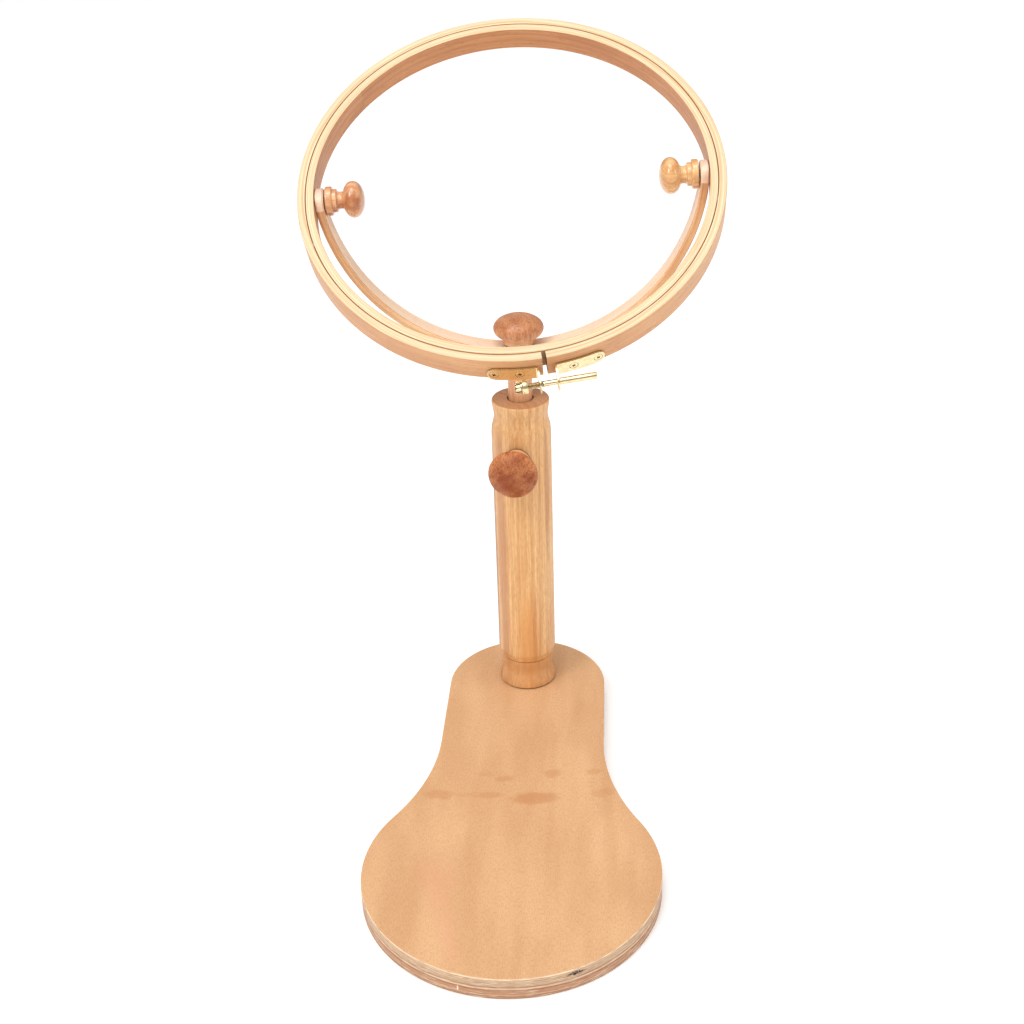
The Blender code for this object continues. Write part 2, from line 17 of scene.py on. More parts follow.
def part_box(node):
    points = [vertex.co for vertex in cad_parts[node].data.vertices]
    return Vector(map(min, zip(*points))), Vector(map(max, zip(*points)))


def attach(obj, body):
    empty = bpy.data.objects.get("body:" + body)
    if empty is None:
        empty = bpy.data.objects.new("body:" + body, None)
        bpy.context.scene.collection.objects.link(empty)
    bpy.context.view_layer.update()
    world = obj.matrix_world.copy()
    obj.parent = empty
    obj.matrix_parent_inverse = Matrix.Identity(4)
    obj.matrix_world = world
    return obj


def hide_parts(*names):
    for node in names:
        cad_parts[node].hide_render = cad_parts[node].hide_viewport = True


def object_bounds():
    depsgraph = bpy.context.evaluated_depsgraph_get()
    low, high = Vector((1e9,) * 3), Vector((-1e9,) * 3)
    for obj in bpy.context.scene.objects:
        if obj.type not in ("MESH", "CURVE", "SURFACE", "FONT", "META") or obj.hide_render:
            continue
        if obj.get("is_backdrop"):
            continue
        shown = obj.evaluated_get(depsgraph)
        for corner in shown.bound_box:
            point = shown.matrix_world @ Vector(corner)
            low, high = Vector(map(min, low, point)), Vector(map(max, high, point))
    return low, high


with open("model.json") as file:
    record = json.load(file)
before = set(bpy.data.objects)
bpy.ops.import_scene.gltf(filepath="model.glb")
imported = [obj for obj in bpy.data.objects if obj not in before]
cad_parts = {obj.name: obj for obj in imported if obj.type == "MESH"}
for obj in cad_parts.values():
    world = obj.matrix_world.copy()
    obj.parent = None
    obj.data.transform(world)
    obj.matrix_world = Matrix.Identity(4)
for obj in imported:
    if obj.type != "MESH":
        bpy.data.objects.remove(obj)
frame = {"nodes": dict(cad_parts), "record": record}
CAD_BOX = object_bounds()

MM = 0.001
SUPPORT = 0.15            # distance of the loop that keeps a flat face flat beside a rounding

# ---- sizes shared with the CAD nodes
BOARD_THICKNESS = 15.0
BOARD_ROUND = 0.8
NARROW_RADIUS, NARROW_CENTRE_Y = 55.5, -10.0
WIDE_RADIUS, WIDE_CENTRE_Y = 91.8, -210.3
WAIST_RADIUS = 157.0

COLUMN_RADIUS = 20.0
COLUMN_TOP = 235.0
COLUMN_FOOT, FOOT_WAIST_RADIUS = 15.3, 17.4
BORE_RADIUS, BORE_DEPTH = 8.35, 190.0
ROD_RADIUS = 8.0

YOKE_THICKNESS, YOKE_WIDTH = 5.0, 16.4
YOKE_RADIUS, YOKE_END_RADIUS = 120.3, 60.0
YOKE_HALF_SPAN, YOKE_ARC_RISE = 118.9, 13.6

RING_DEPTH, OUTER_RING_DEPTH = 16.4, 18.0
INNER_RING_RADII = (122.0, 127.0)
OUTER_RING_RADII = (127.3, 132.3)
RING_EDGE = 0.75
SPLIT_ANGLE, SPLIT_WIDTH = radians(-83.6), 2.6

PLATE_THICKNESS, PLATE_WIDTH, PLATE_LENGTH = 1.0, 11.0, 30.0
EAR_LENGTH, EAR_PLACES = 14.2, (-4.4, 6.2)
BRACKET_SCREW_PLACES = (10.7, 25.9)
CLAMP_OFFSET = -4.4
NUT_ENDS, NUT_GROOVES = (-19.2, -11.8), 10
GAP = 0.3

LARGE_KNOB_RADIUS, LARGE_HEAD_HALF = 16.4, 8.7
LARGE_CREASE_RADIUS, LARGE_HEAD_DROP = 10.6, 5.9
HEIGHT_KNOB_NECK, YOKE_KNOB_NECK = (9.2, 14.3), (10.2, 4.8)
SIDE_KNOB_RADIUS, SIDE_KNOB_LENGTH = 11.3, 24.0


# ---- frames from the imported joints

def joint(name):
    """(point, axis) of a packed joint."""
    found = next(j for j in frame["record"]["behaviour"]["joints"] if j["name"] == name)
    return Vector(found.get("pos_m", (0, 0, 0))), Vector(found["axis"]).normalized()


def axes_frame(point, x_axis, z_axis):
    """A frame at point with its Z along z_axis and its X as near x_axis as that allows."""
    z_axis = z_axis.normalized()
    x_axis = (x_axis - z_axis * x_axis.dot(z_axis)).normalized()
    y_axis = z_axis.cross(x_axis)
    made = Matrix((x_axis, y_axis, z_axis)).transposed().to_4x4()
    return Matrix.Translation(point) @ made


PIVOT, TILT_AXIS = joint("hoop_tilt")
HOOP = axes_frame(PIVOT, TILT_AXIS, joint("outer_hoop_lift_off")[1])
UP = Vector((0, 0, 1))
YOKE = axes_frame(PIVOT, TILT_AXIS, UP - TILT_AXIS * TILT_AXIS.dot(UP))
HEIGHT_KNOB_POINT, HEIGHT_KNOB_AXIS = joint("height_knob_turn")
HEIGHT_KNOB = axes_frame(HEIGHT_KNOB_POINT, UP, HEIGHT_KNOB_AXIS)
YOKE_KNOB = axes_frame(joint("yoke_knob_turn")[0], Vector((1, 0, 0)), UP)
SIDE_KNOBS = {}
for label in ("left", "right"):
    knob_point, knob_axis = joint(f"side_knob_{label}_turn")
    SIDE_KNOBS[label] = axes_frame(knob_point, HOOP.to_3x3() @ UP, knob_axis)
BOLT_POINT, BOLT_AXIS = joint("tension_nut_turn")
SPLIT_OUTWARDS = HOOP.to_3x3() @ Vector((cos(SPLIT_ANGLE), sin(SPLIT_ANGLE), 0))
BOLT = axes_frame(BOLT_POINT, SPLIT_OUTWARDS, BOLT_AXIS)
CLAMP = (
    HOOP @ Matrix.Rotation(SPLIT_ANGLE - pi / 2, 4, "Z") @ Matrix.Rotation(pi, 4, "Y")
    @ Matrix.Translation(Vector((0, OUTER_RING_RADII[1], -CLAMP_OFFSET)) * MM)
)


# ---- node materials

def fill(tree, node, ins):
    """Sets a node's inputs; ins pairs an input's name or number with a socket or a value."""
    for key, value in ins:
        if isinstance(value, bpy.types.NodeSocket):
            tree.links.new(value, node.inputs[key])
        else:
            node.inputs[key].default_value = value
    return node


def make(tree, kind, ins=(), **settings):
    """Adds a shader node with its inputs, as fill takes them, and its settings."""
    made = tree.nodes.new("ShaderNode" + kind)
    for name, value in settings.items():
        setattr(made, name, value)
    return fill(tree, made, ins)


def calc(tree, operation, a, b=0.0):
    return make(tree, "Math", ((0, a), (1, b)), operation=operation).outputs[0]


def blend(tree, factor, a, b, how="MIX"):
    """Mixes two colours by a factor socket or number."""
    ins = ((0, factor), (6, a), (7, b))
    return make(tree, "Mix", ins, data_type="RGBA", blend_type=how).outputs[2]


def remap(tree, value, low, high, start=0.0, end=1.0):
    """Smoothly takes low..high of a value to start..end."""
    ins = ((0, value), (1, low), (2, high), (3, start), (4, end))
    return make(tree, "MapRange", ins, interpolation_type="SMOOTHSTEP").outputs[0]


def scaled(tree, vector, scale, shift=(0, 0, 0)):
    ins = (("Vector", vector), ("Location", shift), ("Scale", scale))
    return make(tree, "Mapping", ins).outputs[0]


def noise(tree, place, scale, detail=3.0, rough=0.5, shift=(0, 0, 0)):
    ins = (("Vector", scaled(tree, place, scale, shift)), ("Scale", 1.0), ("Detail", detail),
           ("Roughness", rough))
    return make(tree, "TexNoise", ins).outputs["Fac"]


def rgb(red, green, blue):
    """A linear colour from sRGB values of 0 to 255."""
    def linear(value):
        value /= 255
        return value / 12.92 if value < 0.04045 else ((value + 0.055) / 1.055) ** 2.4
    return (linear(red), linear(green), linear(blue), 1.0)


def new_material(name):
    made = bpy.data.materials.new(name)
    made.use_nodes = True
    tree = made.node_tree
    return made, tree, tree.nodes["Principled BSDF"]


def grain(tree):
    return make(tree, "Attribute", attribute_name="grain").outputs["Vector"]


def surface(tree, shader, colour, rough, *more):
    fill(tree, shader, (("Base Color", colour), ("Roughness", rough), *more))


def bump(tree, shader, height, depth, strength=1.0):
    ins = (("Height", height), ("Distance", depth), ("Strength", strength))
    tree.links.new(make(tree, "Bump", ins).outputs["Normal"], shader.inputs["Normal"])


def wood_colour(tree, place, light, dark, fleck, rings=0.45, heart=(38.0, 14.0), ring=0.42,
                fibre=0.26, blotch=0.5, flecks=0.5, fibre_size=(3.1, 3.1, 0.11),
                blotch_size=(0.05, 0.05, 0.014), fleck_size=(2.3, 2.3, 0.55), rare=0.6):
    """Beech figure: growth rings, fine fibres, short dark flecks and slow tone changes.

    rings is how many growth rings there are for each millimetre and heart the tree's middle.
    ring, fibre, blotch and flecks are strengths, and rare is how few of the flecks show.
    Returns the colour and a height for bump.
    """
    wobble = noise(tree, place, (0.02, 0.02, 0.006), 2.0)
    offset = scaled(tree, place, (1.0, 1.0, 0.0), (heart[0], heart[1], 0.0))
    radius = make(tree, "VectorMath", ((0, offset),), operation="LENGTH").outputs["Value"]
    wavy = calc(tree, "ADD", radius, calc(tree, "MULTIPLY", wobble, 9.0))
    ring_ins = (("W", calc(tree, "MULTIPLY", wavy, rings)), ("Scale", 1.0), ("Detail", 3.0))
    growth = make(tree, "TexNoise", ring_ins, noise_dimensions="1D").outputs["Fac"]
    growth = remap(tree, growth, 0.3, 0.72)
    thread_tone = noise(tree, place, fibre_size, 4.0, 0.6)
    thread_tone = remap(tree, thread_tone, 0.3, 0.72)
    tone = remap(tree, noise(tree, place, blotch_size, 2.0), 0.3, 0.7)
    ray = remap(tree, noise(tree, place, fleck_size, 1.0, 0.4), rare, rare + 0.14)
    part = calc(tree, "MULTIPLY", growth, ring)
    part = calc(tree, "ADD", part, calc(tree, "MULTIPLY", thread_tone, fibre))
    part = calc(tree, "ADD", part, calc(tree, "MULTIPLY", tone, blotch))
    colour = blend(tree, part, light, dark)
    colour = blend(tree, calc(tree, "MULTIPLY", ray, flecks), colour, fleck)
    height = calc(tree, "SUBTRACT", calc(tree, "MULTIPLY", thread_tone, 0.5), ray)
    return colour, height


def stirred(tree, place, scale, reach):
    """A place that noise of the given scale moves by up to half of reach."""
    ins = (("Vector", scaled(tree, place, scale)), ("Scale", 1.0), ("Detail", 3.0))
    stir = make(tree, "TexNoise", ins).outputs["Color"]
    stir = make(tree, "VectorMath", ((0, stir), (1, (0.5, 0.5, 0.5))),
                operation="SUBTRACT").outputs[0]
    return make(tree, "VectorMath", ((0, stir), (1, reach), (2, place)),
                operation="MULTIPLY_ADD").outputs[0]


def streaked(tree, place, colour, streaks_and_shade):
    """Adds soft tinted patches of (centre, half sizes, tint, strength) to a colour; on the column
    some of them are painted shade.
    """
    moved = stirred(tree, place, (0.3, 0.3, 0.05), (3.0, 3.0, 20.0))
    for centre, size, tint, strength in streaks_and_shade:
        share = calc(tree, "MULTIPLY", spot(tree, moved, centre, size), strength)
        colour = blend(tree, share, colour, tint)
    return colour


def wood(name, light, dark, fleck, gloss=0.42, coat=0.0, coat_rough=0.2, ends=0.6, streaks_and_shade=(),
         seat=None, groove=None, shine=0.4, **figure):
    """A finished wood, darker by ends on end grain, with a roughness that follows its fibres.

    light, dark and fleck are sRGB values of 0 to 255, and figure goes to wood_colour.
    seat, when given, is the level along the fibres where a painted shade line at the seat has faded
    out, and groove is the level of a fine painted shade line in a turned groove.
    """
    made, tree, shader = new_material(name)
    place = grain(tree)
    colour, height = wood_colour(tree, place, rgb(*light), rgb(*dark), rgb(*fleck), **figure)
    if streaks_and_shade:
        colour = streaked(tree, place, colour, streaks_and_shade)
    across = make(tree, "Attribute", attribute_name="end_grain").outputs["Fac"]
    across = remap(tree, across, 0.45, 0.95, 0.0, ends)
    colour = blend(tree, across, colour, END_TINT, "MULTIPLY")
    level = make(tree, "SeparateXYZ", ((0, place),)).outputs["Z"]
    # painted shade: a dark line where the piece sits on another part
    if seat:
        colour = blend(tree, remap(tree, level, seat, seat - SEAT_SHADE_FADE, 0.0, 0.8), colour,
                       SEAT_SHADE_TINT)
    # painted shade: a fine dark line in the turned groove
    if groove:
        away = calc(tree, "ABSOLUTE", calc(tree, "SUBTRACT", level, groove))
        colour = blend(tree, remap(tree, away, GROOVE_SHADE_WIDTH, 0.0, 0.0, 0.5), colour, SEAT_SHADE_TINT)
    rough = remap(tree, height, -0.6, 0.5, gloss + 0.1, gloss - 0.04)
    surface(tree, shader, colour, rough, ("Coat Weight", coat), ("Coat Roughness", coat_rough),
            ("Specular IOR Level", shine))
    bump(tree, shader, height, FIBRE_DEPTH)
    return made


def metal(name, colour, tarnish, rough, metallic=1.0):
    """A worn metal: cloudy tarnish, fine scratches and a little grime."""
    made, tree, shader = new_material(name)
    place = grain(tree)
    cloud = remap(tree, noise(tree, place, (0.45,) * 3, 4.0), 0.35, 0.75)
    fine = noise(tree, place, (9.0, 9.0, 0.8), 3.0, 0.7)
    worn = calc(tree, "MULTIPLY", cloud, 0.12)
    worn = calc(tree, "ADD", worn, calc(tree, "MULTIPLY", fine, 0.08))
    tone = blend(tree, calc(tree, "MULTIPLY", cloud, 0.45), colour, tarnish)
    surface(tree, shader, tone, calc(tree, "ADD", worn, rough), ("Metallic", metallic))
    bump(tree, shader, fine, 0.012 * MM, 0.6)
    return made


def bush_brass():
    """Brass for the threaded bushes, which stay CAD nodes and have no grain attribute."""
    made, tree, shader = new_material("bush_brass")
    place = scaled(tree, make(tree, "TexCoord").outputs["Object"], (1000.0,) * 3)
    cloud = remap(tree, noise(tree, place, (0.5,) * 3, 3.0), 0.35, 0.75)
    tone = blend(tree, cloud, rgb(224, 196, 120), rgb(178, 134, 66))
    surface(tree, shader, tone, remap(tree, cloud, 0.0, 1.0, 0.22, 0.42), ("Metallic", 1.0))
    return made


END_TINT = (0.62, 0.53, 0.55, 1.0)
FIBRE_DEPTH = 0.02 * MM
# tint and sizes of the painted shade lines at a seat and in a groove
SEAT_SHADE_TINT, SEAT_SHADE_FADE, GROOVE_SHADE_WIDTH = rgb(86, 40, 16), 0.5, 1.0

# (x, y, half length, half width, slant, strength) of old damp marks on the board, in mm
MARKS = (
    (11.1, -142.0, 19.0, 7.5, 0.12, 1.0), (-17.7, -139.6, 10.0, 4.5, 0.05, 0.7),
    (-51.0, -139.8, 13.0, 6.0, -0.05, 0.65), (-9.6, -122.7, 8.0, 4.0, 0.25, 0.65),
    (21.5, -115.7, 7.5, 6.0, 0.20, 0.7), (48.6, -113.5, 8.0, 3.4, 0.10, 0.55),
    (56.0, -135.3, 9.0, 6.0, 0.30, 0.5), (-33.0, -139.5, 12.0, 3.6, 0.0, 0.3),
    (-22.0, -118.0, 7.0, 2.6, 0.10, 0.3),
)


def spot(tree, place, centre, size, slant=0.0):
    """A soft spot of 1 at centre that falls to 0 at the given half sizes."""
    moved = make(tree, "VectorMath", ((0, place), (1, centre)), operation="SUBTRACT").outputs[0]
    turned = make(tree, "VectorRotate", (("Vector", moved), ("Angle", -slant)),
                  rotation_type="Z_AXIS").outputs[0]
    shrunk = scaled(tree, turned, tuple(1 / s for s in size))
    reach = make(tree, "VectorMath", ((0, shrunk),), operation="LENGTH").outputs["Value"]
    return remap(tree, reach, 1.05, 0.45)


def board_face_material():
    """The sanded face veneer, with its flecks, a pink streak and old damp marks."""
    made, tree, shader = new_material("board_face")
    place = grain(tree)
    colour, height = wood_colour(
        tree, place, rgb(227, 181, 135), rgb(200, 148, 102), rgb(188, 132, 90), rings=0.16,
        heart=(70.0, 260.0), flecks=0.38, fleck_size=(1.8, 1.8, 0.5), rare=0.50, ring=0.16,
        fibre=0.3, fibre_size=(1.8, 1.8, 0.2), blotch=0.4)
    axes = make(tree, "SeparateXYZ", ((0, place),)).outputs
    flat = make(tree, "CombineXYZ", ((0, axes[0]), (1, axes[2]))).outputs[0]
    ragged = stirred(tree, flat, (0.22, 0.3, 1), (6.0, 6.0, 0.0))
    stain = None
    for x, y, half_length, half_width, slant, strength in MARKS:
        mark = spot(tree, ragged, (x, y, 0), (half_length, half_width, 1), slant)
        mark = calc(tree, "MULTIPLY", mark, strength)
        stain = mark if stain is None else calc(tree, "MAXIMUM", stain, mark)
    colour = blend(tree, calc(tree, "MULTIPLY", stain, 0.55), colour, rgb(190, 124, 76))
    for centre, size, strength in (((-37.0, -257.0, 0), (8.0, 56.0, 1), 0.26),
                                   ((-45.0, -219.0, 0), (18.0, 26.0, 1), 0.20)):
        pink = spot(tree, ragged, centre, size, 0.24)
        colour = blend(tree, calc(tree, "MULTIPLY", pink, strength), colour, rgb(222, 158, 122))
    rough = remap(tree, height, -0.6, 0.5, 0.58, 0.46)
    surface(tree, shader, colour, rough, ("Specular IOR Level", 0.35))
    bump(tree, shader, height, FIBRE_DEPTH)
    return made


# (height on the board's edge, 0 to 1, and the layer's colour there)
PLIES = (
    (0.00, (120, 84, 64)), (0.07, (150, 108, 82)), (0.10, (184, 140, 108)),
    (0.17, (172, 124, 94)), (0.185, (212, 176, 144)), (0.22, (204, 166, 134)),
    (0.24, (186, 136, 102)), (0.33, (194, 146, 112)), (0.40, (178, 126, 92)),
    (0.42, (168, 112, 82)), (0.45, (172, 116, 86)), (0.47, (228, 198, 166)),
    (0.54, (220, 188, 156)), (0.555, (170, 124, 94)), (0.59, (176, 132, 102)),
    (0.61, (206, 172, 138)), (0.66, (198, 164, 130)), (0.675, (222, 194, 162)),
    (0.69, (202, 168, 134)), (0.74, (196, 160, 126)), (0.755, (224, 196, 164)),
    (0.77, (200, 166, 132)), (0.835, (206, 172, 138)), (0.85, (226, 198, 166)),
    (0.865, (204, 168, 134)), (0.905, (208, 172, 136)), (0.925, (246, 222, 190)),
    (1.00, (250, 226, 190)),
)


def board_edge_material():
    """The sawn edge: plies that run along and across, glue lines, a knot and a joint."""
    made, tree, shader = new_material("board_edge")
    place = grain(tree)
    axes = make(tree, "SeparateXYZ", ((0, place),)).outputs
    wander = noise(tree, place, (0.03, 0.0, 0.03), 2.0)
    level = calc(tree, "ADD", axes[1], calc(tree, "MULTIPLY", wander, 0.9))
    level = calc(tree, "DIVIDE", level, BOARD_THICKNESS + 0.9)
    ramp = make(tree, "ValToRGB", ((0, level),))
    stops = ramp.color_ramp.elements
    while len(stops) < len(PLIES):
        stops.new(0.5)
    for stop, (at, colour) in zip(stops, PLIES):
        stop.position = at
        stop.color = rgb(*colour)
    fibre = noise(tree, place, (0.16, 1.5, 0.16), 4.0, 0.65)
    colour = blend(tree, remap(tree, fibre, 0.42, 0.72, 0.0, 0.6), ramp.outputs[0],
                   rgb(160, 116, 84))
    dash = noise(tree, place, (0.12, 1.7, 0.12), 2.0, shift=(7.0, 3.0, 1.0))
    colour = blend(tree, remap(tree, dash, 0.58, 0.68, 0.0, 0.55), colour, rgb(128, 84, 58))
    pale = noise(tree, place, (0.10, 1.6, 0.10), 2.0, shift=(2.0, 9.0, 5.0))
    colour = blend(tree, remap(tree, pale, 0.56, 0.66, 0.0, 0.6), colour, rgb(238, 214, 186))
    knot = spot(tree, place, (41.2, 11.7, -292.3), (6.2, 1.9, 9.0))
    bite = remap(tree, noise(tree, place, (0.7, 1.6, 0.7), 2.0), 0.40, 0.48)
    colour = blend(tree, calc(tree, "MULTIPLY", knot, bite), colour, rgb(48, 27, 14))
    seam = spot(tree, place, (-25.5, 4.5, -298.6), (0.6, 2.4, 6.0))
    colour = blend(tree, seam, colour, rgb(244, 218, 194))
    rough = remap(tree, fibre, 0.3, 0.7, 0.66, 0.52)
    surface(tree, shader, colour, rough, ("Specular IOR Level", 0.3))
    bump(tree, shader, calc(tree, "ADD", fibre, calc(tree, "MULTIPLY", ramp.outputs[0], 0.5)),
         0.05 * MM)
    return made


WORLD_LIGHT = (0.34, 0.68)   # at the horizon, and overhead
FLOOR_GLOW = 0.16
FLOOR_HALF_SIDE, FLOOR_TILES = 7.0, 14
SKY_LIGHT = 0.92
SKY_AIM = (0.20, 0.50, -1.0)
CAMERA_PLACE, CAMERA_LENS = (0.06135, -0.94488, 0.65674), 54.94
CAMERA_FORWARD, CAMERA_RIGHT = (-0.0645, 0.8790, -0.4724), (0.9979, 0.0580, -0.0283)
# (name, place, aimed at, size, power)
LAMPS = (
    ("key_softbox", (-1.1, -1.3, 1.9), (0.0, -0.05, 0.25), (0.75, 0.75), 15.0),
    ("side_softbox", (1.6, -0.5, 1.2), (0.0, 0.0, 0.3), (0.5, 0.9), 4.5),
    ("top_softbox", (-0.1, -0.3, 1.9), (0.0, -0.1, 0.2), (0.9, 0.6), 6.0),
)


def floor_material():
    """Matt white paper with a barely visible tooth."""
    made, tree, shader = new_material("studio_floor")
    place = make(tree, "TexCoord").outputs["Object"]
    tooth = noise(tree, place, (60.0,) * 3, 2.0)
    white = blend(tree, tooth, (0.97, 0.97, 0.97, 1), (0.94, 0.94, 0.94, 1))
    surface(tree, shader, white, 0.9, ("Specular IOR Level", 0.1),
            ("Emission Color", (1.0, 1.0, 1.0, 1.0)), ("Emission Strength", FLOOR_GLOW))
    return made


HEIGHT_KNOB_SHIFT, YOKE_KNOB_SHIFT = (5, 3, 48), (9, -4, 76)   # knobs from other sticks

# (centre, half sizes, tint, strength) of tinted patches on the column, in mm: the second is painted
# shade along its left side, the last is painted shade in its foot's cove, and the rest colour the
# wood itself
COLUMN_STREAKS_AND_SHADE = (
    ((-14.5, -14.0, 110.0), (6.0, 6.0, 150.0), rgb(186, 126, 90), 0.60),
    # painted shade along the column's left side
    ((-19.5, -3.0, 110.0), (3.6, 7.0, 160.0), rgb(150, 104, 78), 0.75),
    ((16.8, -10.8, 172.0), (2.2, 3.0, 66.0), rgb(186, 124, 76), 0.60),
    ((3.0, -19.7, 50.0), (9.5, 7.0, 56.0), rgb(230, 160, 94), 0.55),
    ((7.0, -18.7, 62.0), (1.8, 3.0, 42.0), rgb(190, 126, 76), 0.50),
    # painted shade in the foot's cove
    ((0.0, 0.0, 27.0), (60.0, 60.0, 15.0), rgb(206, 144, 92), 0.50),
)

# the paler turned necks of the large knobs, and a darker patch in the height knob's head
HEIGHT_KNOB_STREAKS = (
    ((5.0, 3.0, 51.0), (60.0, 60.0, 14.0), rgb(236, 184, 134), 0.75),
    ((2.0, 6.0, 76.0), (9.0, 9.0, 12.0), rgb(164, 78, 40), 0.45),
)
YOKE_KNOB_STREAKS = (
    ((9.0, -4.0, 76.0), (60.0, 60.0, 11.0), rgb(236, 180, 130), 0.60),
)

# wood figures that two materials share
YOKE_FIGURE = {"heart": (40.0, 60.0), "flecks": 0.45, "fibre_size": (1.4, 1.4, 0.05)}
RING_FIGURE = {"rings": 0.5, "heart": (60.0, 80.0), "ring": 0.34, "fibre": 0.4,
               "fibre_size": (1.4, 1.4, 0.05), "fleck_size": (1.5, 1.5, 0.2)}
LARGE_KNOB_FIGURE = {"rings": 0.2, "heart": (60.0, 40.0), "fibre": 0.35,
                     "fibre_size": (1.1, 1.1, 0.1), "rare": 0.5}
SIDE_KNOB_FIGURE = {"rings": 0.3, "flecks": 0.4, "ring": 0.5, "blotch_size": (0.16, 0.16, 0.10),
                    "ends": 0.2}

BOARD_FACE = board_face_material()
BOARD_EDGE = board_edge_material()
# the seat and groove settings paint shade at the column's foot and in its groove
COLUMN_WOOD = wood(
    "beech_column", (248, 205, 145), (212, 151, 96), (198, 133, 80), rings=0.30,
    heart=(34.0, 30.0), flecks=0.32, gloss=0.42, ring=0.34, fibre=0.56, blotch=0.2, ends=1.0,
    fibre_size=(1.0, 1.0, 0.02), fleck_size=(1.6, 1.6, 0.2), rare=0.50,
    streaks_and_shade=COLUMN_STREAKS_AND_SHADE, seat=COLUMN_FOOT + 0.9, groove=37.3)
# painted shade: a very dark wood for the column's bore and the rings' cuts and holes
BORE_SHADE_WOOD = wood(
    "beech_bore_shade", (98, 46, 18), (70, 32, 12), (46, 20, 8), rings=0.3,
    heart=(34.0, 30.0), gloss=0.6, shine=0.05)
ROD_WOOD = wood(
    "beech_rod", (236, 184, 140), (200, 136, 94), (160, 98, 62), rings=0.5,
    heart=(20.0, 24.0), flecks=0.6)
YOKE_WOOD = wood(
    "beech_yoke", (253, 228, 202), (238, 200, 166), (202, 146, 106), rings=0.4,
    ring=0.34, fibre=0.3, **YOKE_FIGURE)
YOKE_EDGE = wood(
    "beech_yoke_edge", (246, 204, 156), (210, 154, 104), (172, 112, 70), rings=0.5,
    ring=0.4, fibre=0.5, **YOKE_FIGURE)
RING_SIDE = wood(
    "ring_side", (232, 180, 128), (202, 142, 94), (174, 112, 72), flecks=0.4,
    **RING_FIGURE)
# painted shade: a darker copy of the ring wood for the hoops' hollow sides
RING_INSIDE_SHADED = wood(
    "ring_inside_shaded", (214, 153, 102), (182, 117, 70), (134, 80, 50), flecks=0.45,
    ends=1.0, **RING_FIGURE)
RING_FACE = wood(
    "ring_face", (242, 223, 186), (212, 176, 130), (200, 158, 110), rings=0.9,
    heart=(90.0, 40.0), flecks=0.25, gloss=0.5, ring=0.75, fibre=0.4, blotch=0.1,
    fibre_size=(1.6, 1.6, 0.02), fleck_size=(1.5, 1.5, 0.1))
RING_WOODS = [RING_SIDE, RING_FACE, RING_INSIDE_SHADED, BORE_SHADE_WOOD]
# the seat setting paints the shade in the gap between the neck and the column
HEIGHT_KNOB_WOOD = wood(
    "stained_beech_height_knob", (222, 148, 94), (166, 86, 44), (106, 50, 26),
    flecks=0.35, gloss=0.44, shine=0.25, ring=0.15, blotch=0.65, ends=0.75,
    blotch_size=(0.15, 0.15, 0.1), fleck_size=(0.9, 0.9, 0.3),
    seat=HEIGHT_KNOB_SHIFT[2] + 2.6, streaks_and_shade=HEIGHT_KNOB_STREAKS, **LARGE_KNOB_FIGURE)
# the seat setting paints the contact shade where the neck meets the yoke
YOKE_KNOB_WOOD = wood(
    "stained_beech_yoke_knob", (214, 150, 103), (172, 106, 65), (130, 74, 44),
    flecks=0.4, gloss=0.38, coat=0.1, coat_rough=0.25, ring=0.3, ends=0.15,
    blotch_size=(0.12, 0.12, 0.08), fleck_size=(1.0, 1.0, 0.25),
    seat=YOKE_KNOB_SHIFT[2] + 0.9, streaks_and_shade=YOKE_KNOB_STREAKS, **LARGE_KNOB_FIGURE)
REDDISH_WOOD = wood(
    "reddish_beech_knob", (246, 188, 136), (184, 110, 62), (130, 70, 38),
    heart=(22.0, 10.0), gloss=0.32, coat=1.0, coat_rough=0.14, **SIDE_KNOB_FIGURE)
GOLDEN_WOOD = wood(
    "golden_beech_knob", (252, 208, 148), (212, 148, 84), (170, 102, 52),
    heart=(22.0, 16.0), gloss=0.28, coat=0.9, coat_rough=0.08, **SIDE_KNOB_FIGURE)
BRASS = metal("polished_brass", rgb(240, 222, 178), rgb(210, 174, 114), 0.10)
# painted shade: a dark brass for screw recesses, thread roots and nut grooves
HOLLOW_SHADE = metal("brass_hollow_shade", rgb(84, 54, 20), rgb(40, 24, 10), 0.5, metallic=0.3)
STEEL = metal("zinc_steel", rgb(206, 208, 210), rgb(150, 152, 156), 0.26)
BUSH_BRASS = bush_brass()


# ---- grain coordinates

# Each takes a corner and its face's middle, and returns the place in the wood and the way
# the fibres run there.

def along_z(co, _middle):
    return co, Vector((0, 0, 1))


def along_board(co, _middle):
    return Vector((co.x, co.z, co.y)), Vector((0, 1, 0))


def around(seam, centre=(0.0, 0.0)):
    """Grain that runs round a bend in the local XY plane, with its joint at angle seam."""
    def place(co, middle):
        base = (atan2(middle.y - centre[1], middle.x - centre[0]) - seam) % (2 * pi)
        angle = (atan2(co.y - centre[1], co.x - centre[0]) - seam) % (2 * pi)
        angle += round((base - angle) / (2 * pi)) * 2 * pi
        radius = sqrt((co.x - centre[0]) ** 2 + (co.y - centre[1]) ** 2)
        place_in_wood = Vector((radius, co.z, angle * radius))
        return place_in_wood, Vector((-co.y + centre[1], co.x - centre[0], 0)).normalized()
    return place


# ---- mesh building

